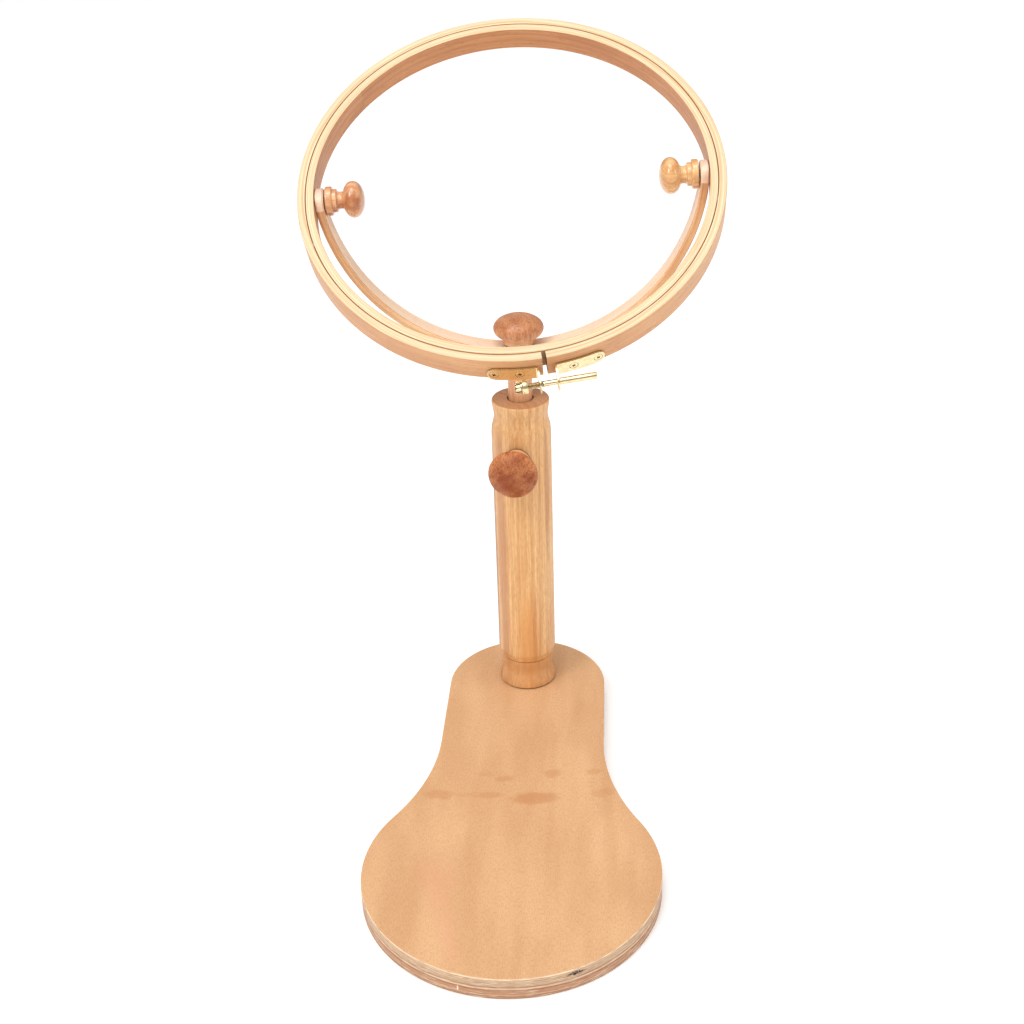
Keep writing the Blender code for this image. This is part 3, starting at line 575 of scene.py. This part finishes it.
def rounded(corners, reach):
    """Rounds each (r, z) corner of a closed outline with a curve that starts reach away."""
    points = []
    for index, corner in enumerate(corners):
        here = Vector(corner)
        before = (Vector(corners[index - 1]) - here).normalized()
        after = (Vector(corners[(index + 1) % len(corners)]) - here).normalized()
        points.append(here + before * (reach + SUPPORT))
        start, end = here + before * reach, here + after * reach
        for t in (0.0, 0.25, 0.5, 0.75, 1.0):
            points.append(start * (1 - t) ** 2 + here * 2 * t * (1 - t) + end * t * t)
        points.append(here + after * (reach + SUPPORT))
    return [(p.x, p.y) for p in points]


def oval(centre, half_width, half_height, start, end, steps, power=1.0):
    """Points on an ellipse; power below 1 squares its shoulders."""
    points = []
    for k in range(steps + 1):
        a = start + (end - start) * k / steps
        c, s = cos(a), sin(a)
        points.append((
            centre[0] + half_width * abs(c) ** power * (1 if c >= 0 else -1),
            centre[1] + half_height * abs(s) ** power * (1 if s >= 0 else -1)))
    return points


def ease(start, end, steps):
    """A smooth S-curve between two (r, z) points, without its first point."""
    points = []
    for k in range(1, steps + 1):
        part = k / steps
        slide = (1 - cos(pi * part)) / 2
        points.append((start[0] + (end[0] - start[0]) * slide,
                       start[1] + (end[1] - start[1]) * part))
    return points


def revolve(rows, segments, closed=False, start=0.0, sweep=2 * pi):
    """Turns rows of (radius, z) about Z. A radius may be a function of the angle."""
    build = bmesh.new()
    full = abs(sweep - 2 * pi) < 1e-9
    count = segments if full else segments + 1
    angles = [start + sweep * k / segments for k in range(count)]
    rings = []
    for radius, z in rows:
        if not callable(radius) and radius < 1e-6:
            rings.append([build.verts.new((0, 0, z))])
            continue
        ring = []
        for a in angles:
            r = radius(a) if callable(radius) else radius
            ring.append(build.verts.new((r * cos(a), r * sin(a), z)))
        rings.append(ring)
    following = rings[1:] + (rings[:1] if closed else [])
    for low, high in zip(rings, following):
        for k in range(segments):
            n = (k + 1) % count
            corners = (low[k % len(low)], low[n % len(low)],
                       high[n % len(high)], high[k % len(high)])
            corners = list(dict.fromkeys(corners))
            if len(corners) > 2:
                build.faces.new(corners)
    if not full:
        for k in (0, count - 1):
            build.faces.new([ring[k] for ring in rings])
    return build


def thread(minor, major, pitch, start, end):
    """Rows of a screw thread from start to end, fading out at both ends."""
    per_turn = 8
    count = max(2, round((end - start) / pitch * per_turn))
    rows = []
    for k in range(count + 1):
        z = start + (end - start) * k / count
        fade = min(1.0, k / per_turn, (count - k) / per_turn)

        def radius(angle, z=z, fade=fade):
            phase = (z / pitch - angle / (2 * pi)) % 1.0
            crest = min(1.0, max(0.0, 1.6 - 4.0 * abs(phase - 0.5)) / 1.2)
            return minor + (major - minor) * crest * fade
        rows.append((radius, z))
    return rows


def strip(path, width, thickness, near_round, far_round, edge, per_corner=8):
    """A flat strip with round ends, bent along path, points in the local XY plane.

    The strip is made flat, its edges are rounded, and then it is bent.
    """
    lengths = [0.0]
    for a, b in zip(path, path[1:]):
        lengths.append(lengths[-1] + (Vector(b) - Vector(a)).length)
    total = lengths[-1]
    half = width / 2
    arc_steps = [pi / 2 * k / per_corner for k in range(per_corner + 1)]
    near = [(near_round * (1 - cos(a)), half - near_round * (1 - sin(a))) for a in arc_steps]
    far = [(total - far_round * (1 - cos(a)), half - far_round * (1 - sin(a)))
           for a in reversed(arc_steps)]
    inner = [s for s in lengths if near_round + 0.4 < s < total - far_round - 0.4]
    build = bmesh.new()

    def vert(s, w):
        return build.verts.new((s, w, -thickness / 2))

    near_top = [vert(s, w) for s, w in near]
    near_low = [vert(s, -w) for s, w in near]
    far_top = [vert(s, w) for s, w in far]
    far_low = [vert(s, -w) for s, w in far]
    faces = [build.faces.new(near_low[::-1] + near_top),
             build.faces.new(far_top + far_low[::-1])]
    last = (near_top[-1], near_low[-1])
    for s in inner:
        here = (vert(s, half), vert(s, -half))
        faces.append(build.faces.new((last[0], here[0], here[1], last[1])))
        last = here
    faces.append(build.faces.new((last[0], far_top[0], far_low[0], last[1])))
    bmesh.ops.recalc_face_normals(build, faces=faces)
    swept = bmesh.ops.extrude_face_region(build, geom=faces)["geom"]
    raised = [item for item in swept if isinstance(item, bmesh.types.BMVert)]
    bmesh.ops.translate(build, verts=raised, vec=(0, 0, thickness))
    bmesh.ops.recalc_face_normals(build, faces=build.faces)
    rims = [e for e in build.edges if len(e.link_faces) == 2
            and e.calc_face_angle(0) > radians(60) and e.verts[0].co.z * e.verts[1].co.z > 0
            and abs(e.verts[0].co.z - e.verts[1].co.z) < 1e-6]
    bmesh.ops.bevel(build, geom=rims, offset=edge, segments=3, affect="EDGES")
    build.normal_update()
    flats = [f for f in build.faces if abs(f.normal.z) > 0.999]
    bmesh.ops.inset_region(build, faces=flats, thickness=min(SUPPORT, edge), use_even_offset=True)
    for v in build.verts:
        s, w, t = v.co
        index = 0
        while index < len(path) - 2 and lengths[index + 1] < s:
            index += 1
        a, b = Vector(path[index]), Vector(path[index + 1])
        part = (s - lengths[index]) / (lengths[index + 1] - lengths[index])
        before = a - Vector(path[index - 1]) if index else b - a
        after = Vector(path[index + 2]) - b if index < len(path) - 2 else b - a
        start, end = (((b - a).normalized() + way.normalized()).normalized()
                      for way in (before, after))
        share = min(max(part, 0.0), 1.0)
        along = (start * (1 - share) + end * share).normalized()
        point = a + (b - a) * part
        v.co = (point.x - along.y * t, point.y + along.x * t, w)
    return build


def box_hull(points):
    build = bmesh.new()
    for p in points:
        build.verts.new(p)
    bmesh.ops.convex_hull(build, input=build.verts)
    return build


def recess_cutters(size, depth, width):
    """Two crossed tapered blades that sink a cross recess from z = 0 downwards."""
    for across in (0, 1):
        points = []
        for z, half, thick in ((0.3, size * 1.1, width * 0.55), (-depth, size * 0.45, width * 0.4)):
            for a in (-half, half):
                for b in (-thick, thick):
                    points.append((b, a, z) if across else (a, b, z))
        yield box_hull(points)


def add_object(name, data):
    made = bpy.data.objects.new(name, data)
    bpy.context.collection.objects.link(made)
    return made


def to_object(name, build, place):
    """A mesh object in metres from a bmesh in millimetres."""
    bmesh.ops.remove_doubles(build, verts=build.verts, dist=1e-4)
    bmesh.ops.recalc_face_normals(build, faces=build.faces)
    bmesh.ops.scale(build, verts=build.verts, vec=(MM,) * 3)
    mesh = bpy.data.meshes.new(name)
    build.to_mesh(mesh)
    build.free()
    made = add_object(name, mesh)
    made.matrix_world = place
    return made


def cut(thing, cutters):
    """Takes (bmesh, place) cutters away from a thing, for good."""
    for build, place in cutters:
        tool = to_object("cutter", build, place)
        step = thing.modifiers.new("cut", "BOOLEAN")
        step.operation, step.solver, step.object = "DIFFERENCE", "EXACT", tool
        graph = bpy.context.evaluated_depsgraph_get()
        mesh = bpy.data.meshes.new_from_object(thing.evaluated_get(graph))
        old = thing.data
        thing.modifiers.clear()
        thing.data = mesh
        bpy.data.meshes.remove(old)
        tool_mesh = tool.data
        bpy.data.objects.remove(tool, do_unlink=True)
        bpy.data.meshes.remove(tool_mesh)


def drill(radius, start, end, place):
    """A round cutter along a place's Z."""
    return revolve([(0, start), (radius, start), (radius, end), (0, end)], 32), place


def dress(mesh, materials):
    mesh.materials.clear()
    for look in materials:
        mesh.materials.append(look)


def finish(thing, node, body, slot, materials, fibres=along_z, shift=(0, 0, 0), choose=None,
           smooth=32):
    """Shades a piece, writes its grain, gives it its materials and puts it on its body."""
    mesh = thing.data
    mesh.name = node
    dress(mesh, materials)
    mesh.shade_smooth()
    mesh.set_sharp_from_angle(angle=radians(smooth))
    shift = Vector(shift)
    normals = [corner.vector.copy() for corner in mesh.corner_normals]
    places, ends = [0.0] * (3 * len(normals)), [0.0] * len(normals)
    for face in mesh.polygons:
        middle = face.center / MM
        face.material_index = choose(face) if choose else 0
        for loop in face.loop_indices:
            co = mesh.vertices[mesh.loops[loop].vertex_index].co / MM
            place, along = fibres(co, middle)
            places[3 * loop:3 * loop + 3] = place + shift
            ends[loop] = abs(normals[loop].dot(along))
    mesh.attributes.new("grain", "FLOAT_VECTOR", "CORNER").data.foreach_set("vector", places)
    mesh.attributes.new("end_grain", "FLOAT", "CORNER").data.foreach_set("value", ends)
    mesh.transform(thing.matrix_world)
    thing.matrix_world = Matrix()
    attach(thing, body)
    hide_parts(node)
    return thing


def piece(node, body, slot, build, place, materials, cutters=(), **options):
    """A finished piece that stands for the CAD node of the same name."""
    thing = to_object(node + "_look", build, place)
    cut(thing, cutters)
    return finish(thing, node, body, slot, materials, **options)


def shifted(place, *offset):
    return place @ Matrix.Translation(Vector(offset) * MM)


# ---- stand

def board_outline(inset):
    """The paddle's outline, moved inwards by inset."""
    wide, narrow, waist = WIDE_RADIUS - inset, NARROW_RADIUS - inset, WAIST_RADIUS + inset
    reach, side = WIDE_RADIUS + WAIST_RADIUS, NARROW_RADIUS + WAIST_RADIUS
    waist_y = WIDE_CENTRE_Y + sqrt(reach ** 2 - side ** 2)
    meet = asin((waist_y - WIDE_CENTRE_Y) / reach)
    right = oval((0, WIDE_CENTRE_Y), wide, wide, -pi / 2, meet, 60)
    right += oval((side, waist_y), waist, waist, pi + meet, pi, 24)[1:]
    right += oval((0, NARROW_CENTRE_Y), narrow, narrow, 0, pi / 2, 30)
    return right + [(-x, y) for x, y in right[-2:0:-1]]


def countersunk_hole(head, shank, depth, length):
    return revolve([(0, 1), (head, 1), (head, -0.3), (shank, -depth), (shank, -length),
                    (0, -length)], 32)


def countersunk_screw(head, shank, depth, length, pitch, plain=0.0, tip=1.0):
    """A countersunk screw from its head's face at z = 0 down to its threaded end."""
    rows = [(0, -length), (shank * 0.3, -length + 0.02)]
    rows += thread(shank * 0.76, shank, pitch, -length + tip, -depth - plain - 0.2)
    rows += [(shank, -depth - plain)] if plain else []
    rows += [(shank, -depth), (head, -0.32), (head, -0.12), (head - 0.12, 0)]
    rows += [(head * 0.5, 0.0), (0, 0)]
    return revolve(rows, 32)


def build_stand():
    t, e = BOARD_THICKNESS, BOARD_ROUND
    levels = [(e + 0.4, 0.0), (e, 0.0)]
    levels += [(e * (1 - sin(pi / 8 * k)), e * (1 - cos(pi / 8 * k))) for k in range(1, 5)]
    levels += [(0.0, e + 0.2), (0.0, t - e - 0.2)]
    levels += [(x, t - z) for x, z in levels[5:0:-1]] + [(e + 0.4, t)]
    build = bmesh.new()
    rings = [[build.verts.new((x, y, z)) for x, y in board_outline(inset)]
             for inset, z in levels]
    count = len(rings[0])
    for low, high in zip(rings, rings[1:]):
        for k in range(count):
            n = (k + 1) % count
            build.faces.new((low[k], low[n], high[n], high[k]))
    build.faces.new(rings[0])
    build.faces.new(rings[-1])

    screw_places = [
        Matrix.Translation(Vector((11 * cos(a), 11 * sin(a), 0.5)) * MM)
        @ Matrix.Rotation(pi, 4, "X")
        for a in (2 * pi * k / 3 + pi / 2 for k in range(3))
    ]
    holes = [(countersunk_hole(4.3, 2.3, 3.1, 39), place) for place in screw_places]
    piece("base_board", "stand", "plywood", build, Matrix(), [BOARD_FACE, BOARD_EDGE], holes,
          fibres=along_board, choose=lambda face: 0 if abs(face.normal.z) > 0.8 else 1)

    top, foot = COLUMN_TOP, COLUMN_FOOT
    rows = [(0, top - BORE_DEPTH), (BORE_RADIUS, top - BORE_DEPTH)]
    rows += [(BORE_RADIUS, z) for z in (top - 120, top - 60, top - 20, top - 1.2)]
    rows += [(BORE_RADIUS, top - 0.5), (BORE_RADIUS + 0.15, top - 0.15), (BORE_RADIUS + 0.5, top)]
    rows += [(9.2, top), (17.6, top), (17.9, top)]
    rows += oval((17.9, top - 1.3), 1.3, 1.3, pi / 2, 0, 6)[1:]
    rows += ease(rows[-1], (18.0, top - 11), 10)
    rows += ease(rows[-1], (19.85, top - 22.4), 10)
    rows += [(19.96, top - 23.2), (COLUMN_RADIUS, top - 24.2)]
    rows += [(COLUMN_RADIUS, z) for z in (180, 150, 120, 90, 60)]
    rows += [(COLUMN_RADIUS, z) for z in (48, 44.2, 43.4)]
    rows += ease(rows[-1], (18.85, 37.8), 8)
    rows += [(18.7, 37.5), (18.4, 37.2), (18.3, 36.9)]
    rows += ease(rows[-1], (FOOT_WAIST_RADIUS, 28.0), 8)
    rows += ease(rows[-1], (19.75, foot + 1.6), 10)
    rows += [(19.78, foot + 1.2), (19.65, foot + 0.7), (19.3, foot + 0.25), (18.7, foot)]
    rows += [(18.3, foot), (0, foot)]
    wall = drill(4.6, -15.6, 5, HEIGHT_KNOB)
    column_holes = [drill(2.3, -39, 0, place) for place in screw_places]
    piece("column", "stand", "beech", revolve(rows, 96), Matrix(), [COLUMN_WOOD, BORE_SHADE_WOOD],
          [wall] + column_holes, choose=in_bore)

    for index, place in enumerate(screw_places):
        screw = countersunk_screw(4.0, 2.0, 2.8, 38, 1.8, plain=12, tip=3)
        cross = [(blade, place) for blade in recess_cutters(2.0, 1.8, 1.0)]
        piece(f"column_screw_{index + 1}", "stand", "steel", screw, place, [STEEL], cross)


def in_bore(face):
    """1 on the wall and the broken edge of the column's long bore, which take the very dark wood as
    painted shade, else 0.
    """
    reach = face.center.xy.length / MM
    return 1 if BORE_RADIUS - 0.1 < reach < BORE_RADIUS + 0.5 and face.center.z > 0.04 else 0


def build_rod():
    low, top = (corner.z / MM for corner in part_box("slide_rod"))
    rows = [(0, top - 16), (4.6, top - 16), (4.6, top - 8), (4.6, top - 0.3), (4.9, top)]
    rows += [(5.2, top), (6.8, top)] + oval((7.1, top - 0.9), 0.9, 0.9, pi / 2, 0, 5)
    rows += [(ROD_RADIUS, z) for z in (top - 1.2, top - 40, top - 90, top - 140, low + 1.2)]
    rows += oval((7.1, low + 0.9), 0.9, 0.9, 0, -pi / 2, 5) + [(6.8, low), (0, low)]
    piece("slide_rod", "rod", "beech", revolve(rows, 64), Matrix(), [ROD_WOOD],
          shift=(9.0, 4.0, 30.0))


# ---- knobs and their screws

def mushroom(neck):
    """A large knob: a hollow-sided neck (seat radius, length), a crease and a domed head."""
    seat, length = neck
    middle = length + LARGE_HEAD_DROP
    top = middle + LARGE_HEAD_HALF
    rows = [(0, 12.3), (3.3, 12.3), (3.3, 6.0), (3.3, 0.4), (3.6, 0), (3.9, 0)]
    rows += oval((seat - 0.8, 0.8), 0.8, 0.8, -pi / 2, 0, 5)
    rows += ease(rows[-1], (LARGE_CREASE_RADIUS - 0.1, length - 0.5), 10)
    rows += [(LARGE_CREASE_RADIUS, length - 0.2), (LARGE_CREASE_RADIUS + 0.5, length)]
    start = -asin((LARGE_HEAD_DROP - 0.1) / LARGE_HEAD_HALF)
    rows += oval((0, middle), LARGE_KNOB_RADIUS, LARGE_HEAD_HALF, start, pi / 2, 30)[:-1]
    rows += [(0.4, top - 0.002), (0, top)]
    return revolve(rows, 80)


def stud(tip):
    rows = [(0, -tip), (2.3, -tip)] + thread(2.45, 3.0, 1.0, -tip + 0.5, 11.5)
    rows += [(2.3, 12.0), (0, 12.0)]
    return revolve(rows, 32)


def side_knob():
    """The small knob: a flange, a collar, a hollow neck and a flattened ball."""
    rows = [(0, 13), (4.1, 13), (4.1, 6), (4.1, 0.4), (4.4, 0), (4.8, 0), (8.2, 0)]
    rows += oval((8.4, 0.7), 0.6, 0.7, -pi / 2, 0, 4) + [(9.0, 1.2), (9.0, 2.9)]
    rows += oval((8.3, 3.2), 0.7, 0.9, 0, pi / 2, 5) + [(7.9, 4.18), (7.5, 4.2), (7.28, 4.35)]
    rows += [(7.3, 4.8), (7.25, 5.8)] + oval((6.6, 6.2), 0.65, 0.8, 0, pi / 2, 5)
    rows += [(6.2, 7.05), (5.85, 7.15), (5.6, 7.5), (5.4, 8.1), (5.3, 8.9), (5.32, 9.6)]
    rows += [(5.5, 10.3), (5.95, 10.9)]
    half = (SIDE_KNOB_LENGTH - 10.0) / 2
    start = -acos(6.6 / SIDE_KNOB_RADIUS)
    rows += oval((0, SIDE_KNOB_LENGTH - half), SIDE_KNOB_RADIUS, half, start, pi / 2, 26,
                 0.94)[:-1]
    rows += [(0.4, SIDE_KNOB_LENGTH - 0.002), (0, SIDE_KNOB_LENGTH)]
    return revolve(rows, 72)


def build_knobs():
    for label, place, neck, tip, look, shift in (
            ("height", HEIGHT_KNOB, HEIGHT_KNOB_NECK, 12.0, HEIGHT_KNOB_WOOD, HEIGHT_KNOB_SHIFT),
            ("yoke", YOKE_KNOB, YOKE_KNOB_NECK, 19.0, YOKE_KNOB_WOOD, YOKE_KNOB_SHIFT)):
        knob = label + "_knob"
        piece(knob, knob, "stained_beech", mushroom(neck), place, [look], shift=shift)
        piece(knob + "_stud", label + "_screw", "steel", stud(tip), place, [STEEL])
    for label, look, slot, shift in (("left", REDDISH_WOOD, "stained_beech", (3, 8, 12)),
                                     ("right", GOLDEN_WOOD, "golden_beech", (7, -5, 63))):
        knob = f"side_knob_{label}"
        piece(knob, knob, slot, side_knob(), SIDE_KNOBS[label], [look], shift=shift)
    for node in ("column_insert", "rod_insert", "side_knob_insert_left", "side_knob_insert_right"):
        dress(frame["nodes"][node].data, [BUSH_BRASS])


# ---- yoke

def yoke_path():
    """The strip's middle line in the yoke's own XZ plane."""
    spread = asin((YOKE_HALF_SPAN - YOKE_END_RADIUS) / (YOKE_RADIUS - YOKE_END_RADIUS))
    shift = YOKE_RADIUS - YOKE_END_RADIUS
    end_centre = (shift * sin(spread), YOKE_ARC_RISE - shift * cos(spread))
    right = oval((0, YOKE_ARC_RISE), YOKE_RADIUS, YOKE_RADIUS, -pi / 2, spread - pi / 2, 60)
    right += oval(end_centre, YOKE_END_RADIUS, YOKE_END_RADIUS, spread - pi / 2, 0, 14)[1:]
    right += [(YOKE_HALF_SPAN, YOKE_WIDTH / 2 * k / 4) for k in range(1, 5)
              if YOKE_WIDTH / 2 * k / 4 > right[-1][1] + 0.5]
    return [(-x, y) for x, y in right[:0:-1]] + right


def on_yoke_edge(face):
    """1 on the strip's narrow sides below its round ends, else 0."""
    return 1 if abs(face.normal.z) > 0.5 and face.center.y < -4 * MM else 0


def build_yoke():
    build = strip(yoke_path(), YOKE_WIDTH, YOKE_THICKNESS, 8.1, 8.1, 0.7, 12)
    upright = YOKE @ Matrix.Rotation(pi / 2, 4, "X")
    holes = [drill(2.8, -8, 4, SIDE_KNOBS[label]) for label in ("left", "right")]
    holes.append(drill(3.3, -9, 3, YOKE_KNOB))
    piece("yoke", "yoke", "beech", build, upright, [YOKE_WOOD, YOKE_EDGE], holes,
          fibres=around(pi / 2, (0, YOKE_ARC_RISE)), shift=(-118.0, 0, 0),
          choose=on_yoke_edge)


# ---- hoop

def ring_rows(inner, outer, low, high):
    return rounded([(inner, low), (outer, low), (outer, high), (inner, high)], RING_EDGE)


def ring_part(face):
    """0 on a ring's outside, 1 on its flats, 2 on its hollow side, painted darker as shade, 3 in
    its cuts and holes, painted very dark as shade.
    """
    if abs(face.normal.z) > 0.8:
        return 1
    outwards = face.normal.xy.dot(face.center.xy.normalized())
    if abs(outwards) < 0.3:
        return 3
    return 0 if outwards > 0 else 2


def build_hoop():
    half = RING_DEPTH / 2
    ring = revolve(ring_rows(*INNER_RING_RADII, -half, half), 240, closed=True)
    head = INNER_RING_RADII[1] - 0.4 - abs((SIDE_KNOBS["left"].translation - PIVOT).length) / MM
    holes = []
    for label in ("left", "right"):
        outward = SIDE_KNOBS[label] @ Matrix.Rotation(pi, 4, "X")
        place = shifted(outward, 0, 0, head)
        holes.append((countersunk_hole(4.5, 2.8, 2.7, 25), place))
        bolt = countersunk_screw(4.2, 2.5, 2.4, head + 11.5, 0.8, plain=7)
        cross = [(blade, place) for blade in recess_cutters(2.0, 1.7, 1.0)]
        piece(f"pivot_bolt_{label}", "hoop", "steel", bolt, place, [STEEL], cross)
    piece("inner_hoop", "hoop", "pale_beech", ring, HOOP, RING_WOODS, holes,
          fibres=around(radians(140)), shift=(-124.0, 0, 0), choose=ring_part)


def build_outer_hoop():
    half_split = SPLIT_WIDTH / 2 / OUTER_RING_RADII[1]
    high = RING_DEPTH / 2
    ring = revolve(
        ring_rows(*OUTER_RING_RADII, high - OUTER_RING_DEPTH, high), 250, closed=True,
        start=SPLIT_ANGLE + half_split, sweep=2 * (pi - half_split))
    plate_face = OUTER_RING_RADII[1] + GAP + PLATE_THICKNESS
    screws = []
    for side, label, ear in zip((-1, 1), ("left", "right"), EAR_PLACES):
        cutters = [drill(2.3 if side < 0 else 2.0, ear - 3, ear + 3, BOLT)]
        for along in BRACKET_SCREW_PLACES:
            angle = SPLIT_ANGLE + (ear + side * along) / plate_face
            screws.append(
                shifted(HOOP @ Matrix.Rotation(angle, 4, "Z"), plate_face, 0, CLAMP_OFFSET)
                @ Matrix.Rotation(pi / 2, 4, "Y"))
            cutters.append((countersunk_hole(2.75, 1.5, 1.8, 6), screws[-1]))
        build = strip(bracket_path(side, ear), PLATE_WIDTH, PLATE_THICKNESS, 5.4, 4.5, 0.2, 10)
        piece(f"bracket_{label}", "outer_hoop", "brass", build, CLAMP, [BRASS], cutters,
              smooth=40, shift=(40 * side, 0, 0))
    holes = [(countersunk_hole(2.8, 1.5, 1.9, 6), place) for place in screws]
    piece("outer_hoop", "outer_hoop", "pale_beech", ring, HOOP, RING_WOODS, holes,
          fibres=around(SPLIT_ANGLE), shift=(-118.0, 21.0, 300.0), choose=ring_part)
    for index, place in enumerate(screws):
        turn = place @ Matrix.Rotation(radians((20, 65, -15, 40)[index]), 4, "Z")
        screw = countersunk_screw(2.5, 1.2, 1.6, 5, 0.8, tip=1.2)
        cross = [(blade, turn) for blade in recess_cutters(1.25, 1.1, 0.75)]
        piece(f"bracket_screw_{index + 1}", "outer_hoop", "brass", screw, turn,
              [BRASS, HOLLOW_SHADE], cross, shift=(0, 9 * index, 0), choose=in_recess)


def in_recess(face):
    """1 inside the cross recess of a screw's head, which takes the painted shade, else 0."""
    x, y, z = face.center / MM
    return 1 if -1.2 < z < -0.1 and x * x + y * y < 1.4 ** 2 else 0


def bracket_path(side, ear):
    """Middle line of a bracket: its plate follows the ring, and its ear stands outwards."""
    bend = 1.6
    radius = OUTER_RING_RADII[1] + GAP + PLATE_THICKNESS / 2
    far, near = (ear + side * PLATE_LENGTH) / radius, (ear + side * bend) / radius
    plate = []
    for k in range(25):
        angle = far + (near - far) * k / 24
        plate.append((radius * sin(angle), radius * cos(angle) - OUTER_RING_RADII[1]))
    low = plate[-1][1]
    end = -pi if side > 0 else 0
    curve = oval((ear + side * bend, low + bend), bend, bend, -pi / 2, end, 8)[1:]
    ear_line = [(ear, low + bend + (EAR_LENGTH - low - bend) * k / 5) for k in range(1, 6)]
    return plate + curve + ear_line


def in_bolt_root(face):
    """1 between the tension bolt's threads, which take the painted shade, else 0."""
    return 1 if face.center.xy.length / MM < 1.64 and abs(face.normal.z) < 0.9 else 0


def in_nut_groove(face):
    """1 in the grooves of the tension nut's barrel, which take the painted shade, else 0."""
    deep = 3.1 < face.center.xy.length / MM < 3.62
    return 1 if deep and face.center.z / MM < NUT_ENDS[0] + 3.6 else 0


def build_bolt():
    start, end = -18.2, 28.8
    shank_start, shoulder = -2.9, 7.0
    rows = [(0, start), (1.4, start)] + thread(1.55, 2.0, 0.7, start + 0.3, shank_start)
    rows += [(1.65, shank_start + 0.3), (1.65, 2.0), (1.65, shoulder - 0.1), (1.8, shoulder)]
    rows += [(1.95, shoulder), (2.1, shoulder + 0.15), (2.1, 14), (2.1, 22), (2.1, end - 0.4)]
    rows += [(2.03, end - 0.15), (1.9, end), (1.6, end), (0, end)]
    piece("tension_bolt", "outer_hoop", "brass", revolve(rows, 40), BOLT, [BRASS, HOLLOW_SHADE],
          choose=in_bolt_root)

    def grooved(radius):
        def at(angle):
            wave = abs((angle * NUT_GROOVES / (2 * pi)) % 1.0 - 0.5) * 2
            return radius - 0.55 * max(0.0, 1 - wave * 2.6)
        return at

    low, high = NUT_ENDS
    rows = [(2.3, low), (3.2, low), (3.5, low + 0.1), (grooved(3.75), low + 0.45)]
    rows += [(grooved(3.8), low + k) for k in (0.8, 1.6, 2.4, 3.2)]
    rows += [(3.3, low + 3.5), (3.3, low + 3.9), (4.0, low + 4.2), (4.2, low + 4.5)]
    rows += [(4.2, high - 0.9), (4.05, high - 0.4), (3.6, high), (3.3, high), (2.3, high)]
    piece("tension_nut", "tension_nut", "brass", revolve(rows, 80, closed=True), BOLT,
          [BRASS, HOLLOW_SHADE], smooth=28, choose=in_nut_groove)


# ---- studio

def add_light(name, kind, power, place, aim):
    lamp = bpy.data.lights.new(name, kind)
    lamp.energy = power
    thing = add_object(name, lamp)
    thing.location = place
    thing.rotation_mode = "QUATERNION"
    thing.rotation_quaternion = aim.to_track_quat("-Z", "Y")
    return lamp


def build_studio():
    side, count = FLOOR_HALF_SIDE, FLOOR_TILES
    build = bmesh.new()
    grid = [[build.verts.new((-side + 2 * side * i / count, -side + 2 * side * j / count, 0))
             for i in range(count + 1)] for j in range(count + 1)]
    for j in range(count):
        for i in range(count):
            build.faces.new((grid[j][i], grid[j][i + 1], grid[j + 1][i + 1], grid[j + 1][i]))
    mesh = bpy.data.meshes.new("studio_floor")
    build.to_mesh(mesh)
    build.free()
    mesh.materials.append(floor_material())
    floor = add_object("studio_floor", mesh)
    floor.location = (0, 0, -0.0005)
    floor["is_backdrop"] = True

    scene = bpy.context.scene
    world = bpy.data.worlds.new("studio")
    scene.world = world
    world.use_nodes = True
    tree = world.node_tree
    way = make(tree, "TexCoord").outputs["Generated"]
    height = make(tree, "SeparateXYZ", ((0, way),)).outputs["Z"]
    fill(tree, tree.nodes["Background"], (
        ("Color", (1.0, 1.0, 1.0, 1.0)),
        ("Strength", remap(tree, height, 0.05, 0.9, *WORLD_LIGHT))))

    for name, place, target, size, power in LAMPS:
        lamp = add_light(name, "AREA", power, place, Vector(target) - Vector(place))
        lamp.shape = "RECTANGLE"
        lamp.size, lamp.size_y = size
    add_light("broad_sky", "SUN", SKY_LIGHT, (0, 0, 0), Vector(SKY_AIM)).angle = radians(50)

    forward = Vector(CAMERA_FORWARD).normalized()
    right = Vector(CAMERA_RIGHT)
    right = (right - forward * right.dot(forward)).normalized()
    up = right.cross(forward)
    data = bpy.data.cameras.new("camera")
    data.lens, data.sensor_width = CAMERA_LENS, 36.0
    data.clip_start, data.clip_end = 0.05, 50.0
    camera = add_object("camera", data)
    turn = Matrix((right, up, -forward)).transposed().to_4x4()
    camera.matrix_world = Matrix.Translation(CAMERA_PLACE) @ turn
    scene.camera = camera
    scene.view_settings.view_transform, scene.view_settings.look = "Standard", "None"


build_stand()
build_rod()
build_knobs()
build_yoke()
build_hoop()
build_outer_hoop()
build_bolt()
build_studio()

boxes = {"cad": CAD_BOX, "visual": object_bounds()}
{name: [list(low), list(high)] for name, (low, high) in boxes.items()}
